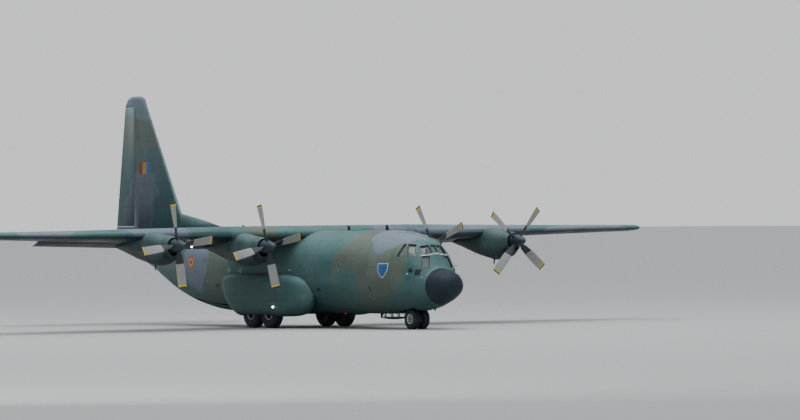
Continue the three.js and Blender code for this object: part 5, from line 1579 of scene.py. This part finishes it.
def pitot(side, y, z, length):
    """A probe on a short strut standing off the nose, its tube pointing forward."""
    root = HULL.on_side([(y, z)], side, -0.01)[0] / SCALE + np.array([0, ORIGIN_Y, 0])
    out = Vector(root) + Vector((side * 0.13, -0.02, 0))
    tip = out + Vector((0, -length, 0))
    return [tube([root, out], [0.026, 0.018], 10),
            tube([out + Vector((0, 0.05, 0)), tip], [0.019, 0.013], 12)]


probes = []
for side in SIDES.values():
    probes += pitot(side, -11.02, 3.02, 0.20) + pitot(side, -10.98, 2.58, 0.22)
dress(joined("air_data_probes", probes, 40), FRAME_PAINT, "airframe", "dark_trim")


def blade_aerial(x, y, z, height, root, tip, sweep, thick=0.03):
    """An upright (or with a negative height hanging) aerial of streamlined section."""
    section = [(0.0, 0.0), (0.08, 0.7), (0.3, 1.0), (0.65, 0.7), (1.0, 0.0), (0.65, -0.7), (0.3, -1.0),
               (0.08, -0.7)]
    rings = []
    for share in (0.0, 0.5, 0.92, 1.0):
        chord = (root + (tip - root) * share) * (0.94 if share == 1.0 else 1)
        start = y + sweep * share
        half = thick / 2 * (1 - 0.5 * share)
        rings.append([place(x + side_share * half, start + along * chord, z + height * share)
                      for along, side_share in section])
    return loft(rings)


aerials = [
    blade_aerial(0, -7.60, 4.70, 0.30, 0.32, 0.18, 0.12),
    blade_aerial(0, -4.40, 4.72, 0.26, 0.28, 0.16, 0.10),
    blade_aerial(0, 4.60, 4.73, 0.30, 0.34, 0.20, 0.12),
    blade_aerial(0, -7.05, 0.75, -0.20, 0.26, 0.16, 0.08),
    blade_aerial(0.35, -3.10, 0.75, -0.20, 0.24, 0.14, 0.08),
    blade_aerial(-0.35, 2.40, 0.75, -0.18, 0.30, 0.20, 0.08),
    blade_aerial(0, -11.35, 1.06, -0.16, 0.20, 0.12, 0.06),
]
for x in (10.16, -10.16):
    aerials.append(blade_aerial(x, -2.62, 3.30, -0.36, 0.16, 0.09, 0.10, 0.035))
dress(joined("blade_aerials", aerials, 40), DARK, "airframe", "dark_trim")

plate = [(-0.34, -5.55), (0.34, -5.55), (0.30, -4.85), (-0.30, -4.85)]
covers = [skin_plate(plate, HULL.on_top, 1, 0.03), skin_disc((0.0, -9.35), 0.26, HULL.on_top, 1, 0.01, 0.05)]
dress(joined("top_covers", covers, 40), FRAME_PAINT, "airframe", "camouflage")

# Place along and height on the fuselage's side, radius and bulge of small pale ports
PALE_SPOTS = [((-10.92, 2.68), 0.035, 0.015), ((-11.56, 2.50), 0.030, 0.02), ((-2.24, 2.84), 0.045, 0.015),
              ((-8.70, 1.48), 0.022, 0.01)]
ports, port_glass, sensors, pale_spots = [], [], [], []


def side_plate(y0, y1, z0, z1, side, rise, steps=(6, 6)):
    """A plate on the fuselage's side, between two places along and two heights."""
    return skin_plate([(y0, z0), (y1, z0), (y1, z1), (y0, z1)], HULL.on_side, side, rise, steps)


for side in SIDES.values():
    for y, z, radius in ((1.98, 2.83, 0.15), (2.97, 2.83, 0.15), (-6.35, 3.05, 0.17), (5.10, 2.78, 0.17)):
        ports.append(skin_frame(circle((y, z), radius), HULL.on_side, side, -0.012, 0.028, 0.009, 1))
        port_glass.append(skin_disc((y, z), radius - 0.004, HULL.on_side, side, 0.002, 0.006))
    sensors.append(skin_disc((-11.05, 2.84), 0.10, HULL.on_side, side, 0.012, 0.03))
    sensors.append(side_plate(-11.46, -11.24, 2.62, 2.88, side, 0.01))
    sensors.append(side_plate(-8.75, -8.69, 1.85, 2.10, side, 0.006))
    for at, radius, bulge in PALE_SPOTS:
        pale_spots.append(skin_disc(at, radius, HULL.on_side, side, 0.006, bulge))
    for k in range(5):
        z = 1.98 + k * 0.035
        sensors.append(side_plate(3.96, 4.20, z, z + 0.016, side, 0.010, (4, 2)))
        sensors.append(side_plate(-4.62, -4.38, z - 0.15, z - 0.134, side, 0.010, (4, 2)))
dress(joined("port_rims", ports, 50), FRAME_PAINT, "airframe", "camouflage")
dress(joined("port_glass", port_glass, 50), GLASS, "airframe", "window_glass")
dress(joined("side_sensors_and_louvres", sensors, 50), DARK, "airframe", "dark_trim")
dress(joined("pale_side_ports", pale_spots, 50), PALE_PAINT, "airframe", "dark_trim")

# Doors: handles, hinges and the crew door's steps


def skin_box(y, z, half_y, half_z, side, rise):
    """A small plate round a point on the fuselage's side."""
    return side_plate(y - half_y, y + half_y, z - half_z, z + half_z, side, rise, (3, 3))


for name, side in SIDES.items():
    parts = [skin_box(4.86, 2.30, 0.07, 0.025, side, 0.022), skin_box(5.34, 2.30, 0.07, 0.025, side, 0.022)]
    parts += [skin_box(y, 3.34, 0.045, 0.05, side, 0.03) for y in (4.80, 5.10, 5.40)]
    dress(joined(f"paratroop_door_fittings_{name}", parts, 40), FRAME_PAINT, "airframe", "gear_metal")

latch = [skin_box(-9.34, 1.85, 0.05, 0.022, 1, 0.022), skin_box(-8.86, 1.85, 0.05, 0.022, 1, 0.022)]
dress(joined("crew_door_handles", latch, 40), GEAR_PAINT, "crew_door", "gear_metal")


# How far the crew door turns when it is let down
DOOR_OPEN = math.radians(98)


def tread_outline(y, z, cheek):
    """Outline of a tread or its end cheek at one place along, from the door's inner face inwards."""
    back, foot = HULL.on_side([(y, z), (y, z + 0.15)], 1, -0.075)
    front = back + 0.20 * SCALE * np.array([math.cos(DOOR_OPEN), 0, math.sin(DOOR_OPEN)])
    under = np.array([0.02 * SCALE, 0, 0])
    outline = [back, front, foot] if cheek else [back, front, front + under, back + under]
    return [Vector((x, place(0, y, 0).y, up)) for x, _, up in outline]


# Treads stand upright on the closed door, so that they lie level once it is let down
treads = []
for z in (1.34, 1.57, 1.80):
    treads.append(loft([tread_outline(y, z, False) for y in (-9.36, -8.84)]))
    treads += [loft([tread_outline(y + end, z, True) for end in (-0.01, 0.01)]) for y in (-9.34, -8.86)]
dress(joined("crew_door_steps", treads, 30), FLOOR_PLATE, "crew_door", "floor_plate")

# Engine nacelles: intake lips, gearbox fronts, coolers and exhausts


def oval_band(form, rows):
    """A closed band round an oval body: rows of (place along, lift) make its section."""
    count, total = 48, len(rows)
    rings = [list(form.around(y, full_turn(count), lift)) for y, lift in rows]
    faces = [(i * count + j, i * count + (j + 1) % count, (i + 1) % total * count + (j + 1) % count,
              (i + 1) % total * count + j) for i in range(total) for j in range(count)]
    return [p for ring in rings for p in ring], faces


ELLIPSE_POINTS = 28
MOUTH_POINTS = 30


def ellipse_rings(x, z, rows):
    """Rings of (place along, half width, half height, height above z)."""
    return [[place(x + half * math.cos(a), y, z + up + high * math.sin(a))
             for a in (2 * math.pi * k / ELLIPSE_POINTS for k in range(ELLIPSE_POINTS))]
            for y, half, high, up in rows]


def round_edge(y, inner, outer, depth):
    """A rounded front edge's section, from the outer skin over to the inner one."""
    middle, reach = (inner + outer) / 2, (outer - inner) / 2
    rows = [(y - depth * math.sin(a), middle + reach * math.cos(a)) for a in np.linspace(0, math.pi, 7)]
    return rows + [(y + 0.05, inner), (y + 0.05, outer)]


for number, form in NACELLES.items():
    x, hub_y, z = form.centre
    lip = [oval_band(form, round_edge(0.315, -0.052, 0.004, 0.035))]
    scoop = [(hub_y + 0.33, 0.27, 0.105, -0.425), (hub_y + 0.30, 0.285, 0.12, -0.425),
             (hub_y + 0.34, 0.30, 0.13, -0.425), (hub_y + 0.70, 0.30, 0.14, -0.50)]
    inside = [(hub_y + 0.70, 0.28, 0.125, -0.50), (hub_y + 0.33, 0.27, 0.105, -0.425)]
    shells = ellipse_rings(x, z, scoop + inside)
    lip.append(loft(shells, False))
    dress(joined(f"nacelle_{number}_lips", lip, 60, False), SKIN_POD, "airframe", "camouflage")
    # A dark band over each nacelle's lower front, behind the lip: partly the dark intake, partly painted
    # shade under the spinner.
    low = np.radians(np.linspace(205, 335, MOUTH_POINTS))
    dark_intake_and_shade = [form.around(y, low, lift) for y, lift in ((0.325, -0.01), (0.325, 0.010), (0.42, 0.012),
                                                       (0.52, 0.012), (0.62, 0.012), (0.62, -0.01))]
    last, inner_row = MOUTH_POINTS - 1, (len(dark_intake_and_shade) - 1) * MOUTH_POINTS
    faces = ring_faces(len(dark_intake_and_shade), MOUTH_POINTS, False, False)
    faces += [tuple(k * MOUTH_POINTS + j for k in range(len(dark_intake_and_shade))) for j in (0, last)]
    faces += [(j, j + 1, inner_row + j + 1, inner_row + j) for j in range(last)]
    dress(joined(f"nacelle_{number}_mouth", [([p for row in dark_intake_and_shade for p in row], faces)], 40), DARK,
          "airframe", "engine_metal")
    core = [lathe([(0.0, 0.285), (0.20, 0.285), (0.27, 0.30), (0.315, 0.345), (0.345, 0.45), (0.36, 0.62),
                   (0.365, 0.775), (0.0, 0.775)], (x, hub_y, z), (0, 1, 0), 40)]
    core.append(loft(ellipse_rings(x, z, [(hub_y + back, 0.272, 0.118, -0.50) for back in (0.66, 0.68)])))
    for k in range(6):
        a = math.radians(30 + 60 * k)
        inner = Vector((x + 0.30 * math.cos(a), hub_y + 0.42, z + 0.30 * math.sin(a)))
        core.append(tube([inner, inner + Vector((0.03 * math.cos(a), 0.30, 0.03 * math.sin(a)))], 0.028, 8))
    dress(joined(f"nacelle_{number}_gearbox", core, 40), DARK, "airframe", "engine_metal")
    pipe = [oval_band(form, [(4.62, -0.050), (5.02, -0.055), (5.05, -0.066), (5.02, -0.078), (4.62, -0.075)])]
    dress(joined(f"nacelle_{number}_exhaust", pipe, 50), HOT_METAL, "airframe", "engine_metal")
    strap = [(0, 0.0), (0.004, 0.007), (0.046, 0.007), (0.05, 0.0), (0.025, -0.012)]
    trims = [oval_band(form, [(y + along, lift) for along, lift in strap]) for y in (0.62, 1.90, 3.10)]
    for side in SIDES.values():
        for k in range(4):
            y, up = hub_y + 2.25 + 0.11 * k, z - 0.25
            slot = [(y, up), (y + 0.035, up), (y + 0.035, up + 0.22), (y, up + 0.22)]
            trims.append(skin_plate(slot, form.on_side, side, 0.018, (3, 5)))
    trims.append(skin_plate([(x - 0.20, hub_y + 1.30), (x + 0.20, hub_y + 1.30), (x + 0.18, hub_y + 1.85),
                             (x - 0.18, hub_y + 1.85)], form.on_top, -1, 0.035))
    trims.append(skin_disc((x, hub_y + 1.15), 0.07, form.on_top, 1, 0.008, 0.01))
    dress(joined(f"nacelle_{number}_trims", trims, 50), SKIN_POD, "airframe", "camouflage")


# Lamps


def landing_lamp(side):
    return (side * 7.50, -1.66, 4.05)


# Name, centre, radius, way the lens faces, material
LAMPS = [
    ("landing_lamp_right", landing_lamp(-1), 0.062, (-0.3, -1, 0), LAMP_WHITE),
    ("landing_lamp_left", landing_lamp(1), 0.062, (0.3, -1, 0), GLASS),
    ("taxi_lamp_right", (-2.74, -1.62, 1.05), 0.055, (-0.5, -1, 0), LAMP_WHITE),
    ("taxi_lamp_left", (2.74, -1.62, 1.05), 0.055, (0.5, -1, 0), GLASS),
    ("tip_lamp_left", (20.02, -1.30, 4.655), 0.05, (1, -0.6, 0), LAMP_RED),
    ("tip_lamp_right", (-20.02, -1.30, 4.655), 0.05, (-1, -0.6, 0), LAMP_GREEN),
    ("beacon_top", (0.0, 3.20, 4.74), 0.07, (0, 0, 1), LAMP_RED),
    ("beacon_bottom", (0.0, -3.90, 0.725), 0.06, (0, 0, -1), LAMP_RED),
]


def lamp(name, centre, radius, facing, material):
    """A domed lens in a bezel."""
    lens = [(0.0, radius * 0.75)]
    lens += [(radius * 0.9 * math.sin(a), radius * 0.75 * math.cos(a))
             for a in np.linspace(0.25, math.pi / 2, 6)]
    lens += [(radius * 0.9, -radius * 0.3), (0.0, -radius * 0.3)]
    bezel = [(radius * 0.86, -radius * 0.5), (radius * 0.86, radius * 0.10), (radius * 0.98, radius * 0.22),
             (radius * 1.12, radius * 0.10), (radius * 1.12, -radius * 0.5)]
    dress(joined(name, [lathe(lens, centre, facing, 24)], 50), material, "airframe", "window_glass")
    dress(joined(name + "_bezel", [lathe(bezel, centre, facing, 28)], 40), DARK, "airframe", "dark_trim")


for entry in LAMPS:
    lamp(*entry)

# The landing lamps are let down below the wing, each on an arm
arms = []
for side in SIDES.values():
    lamp_x, lamp_y, lamp_z = landing_lamp(side)
    root = wing_point(lamp_x, 0.16, upper=False)
    for x in (-0.035, 0.035):
        foot = (lamp_x + x, lamp_y + 0.015, lamp_z)
        arms.append(tube([foot, (root[0] + x, root[1], root[2] + 0.03)], 0.014, 8))
    arms.append(lathe([(0.0, -0.075), (0.045, -0.062), (0.064, -0.02), (0.064, 0.012), (0.0, 0.012)],
                      landing_lamp(side), (side * 0.3, -1, 0), 24))
dress(joined("landing_lamp_arms", arms, 40), DARK, "airframe", "dark_trim")

# Floor, light and camera

floor_mesh = bpy.data.meshes.new("floor")
floor_mesh.from_pydata([(-400, -300, 0), (400, -300, 0), (400, 500, 0), (-400, 500, 0)], [], [(0, 1, 2, 3)])
floor = bpy.data.objects.new("floor", floor_mesh)
bpy.context.scene.collection.objects.link(floor)
floor_paint, _, shader, _ = new_material("studio floor")
shader["Base Color"].default_value = colour(0.47, 0.46, 0.44)
shader["Roughness"].default_value = 0.9
floor_mesh.materials.append(floor_paint)


def overcast_world():
    """A pale backdrop at the horizon, dim above it and brightest overhead, as under high cloud."""
    world = bpy.data.worlds.new("overcast")
    world.use_nodes = True
    tree = world.node_tree
    up = parts_of(tree, tree.nodes.new("ShaderNodeTexCoord").outputs["Generated"])["Z"]
    sky = blend(tree, span(tree, up, 0.05, 0.18), colour(0.86, 0.87, 0.89), colour(0.34, 0.38, 0.43))
    sky = blend(tree, span(tree, up, 0.35, 0.85), sky, colour(1.35, 1.42, 1.50))
    tree.links.new(sky, tree.nodes["Background"].inputs["Color"])
    bpy.context.scene.world = world


overcast_world()


def area_light(name, at, aim, size, power, tint=(1, 1, 1)):
    light = bpy.data.lights.new(name, "AREA")
    light.shape = "DISK"
    light.size = size
    light.energy = power
    light.color = tint
    obj = bpy.data.objects.new(name, light)
    obj.location = at
    obj.rotation_euler = (Vector(aim) - Vector(at)).to_track_quat("-Z", "Y").to_euler()
    bpy.context.scene.collection.objects.link(obj)


area_light("overhead", (-6, -8, 40), (0, 0, 1.5), 34, 9000, (0.96, 0.98, 1.0))
area_light("front_fill", (-35, -40, 14), (0, 0, 1.5), 25, 2000)

CAMERA_PLACE = Vector((-81.515, -116.790, 2.9285))
CAMERA_AIM = Vector((1.0712, -3.7436, 2.8573))
CAMERA_ROLL = math.radians(-0.58)
CAMERA_LENS = 258.68
camera = bpy.data.objects.new("camera", bpy.data.cameras.new("camera"))
camera.location = CAMERA_PLACE
turn = (CAMERA_AIM - CAMERA_PLACE).to_track_quat("-Z", "Y").to_matrix() @ Matrix.Rotation(CAMERA_ROLL, 3, "Z")
camera.rotation_euler = turn.to_euler()
camera.data.sensor_width = 36
camera.data.lens = CAMERA_LENS
camera.data.clip_end = 2000
bpy.context.scene.collection.objects.link(camera)
bpy.context.scene.camera = camera

# The fittings are meshes of their own by now
for template in TEMPLATES.values():
    bpy.data.objects.remove(template)
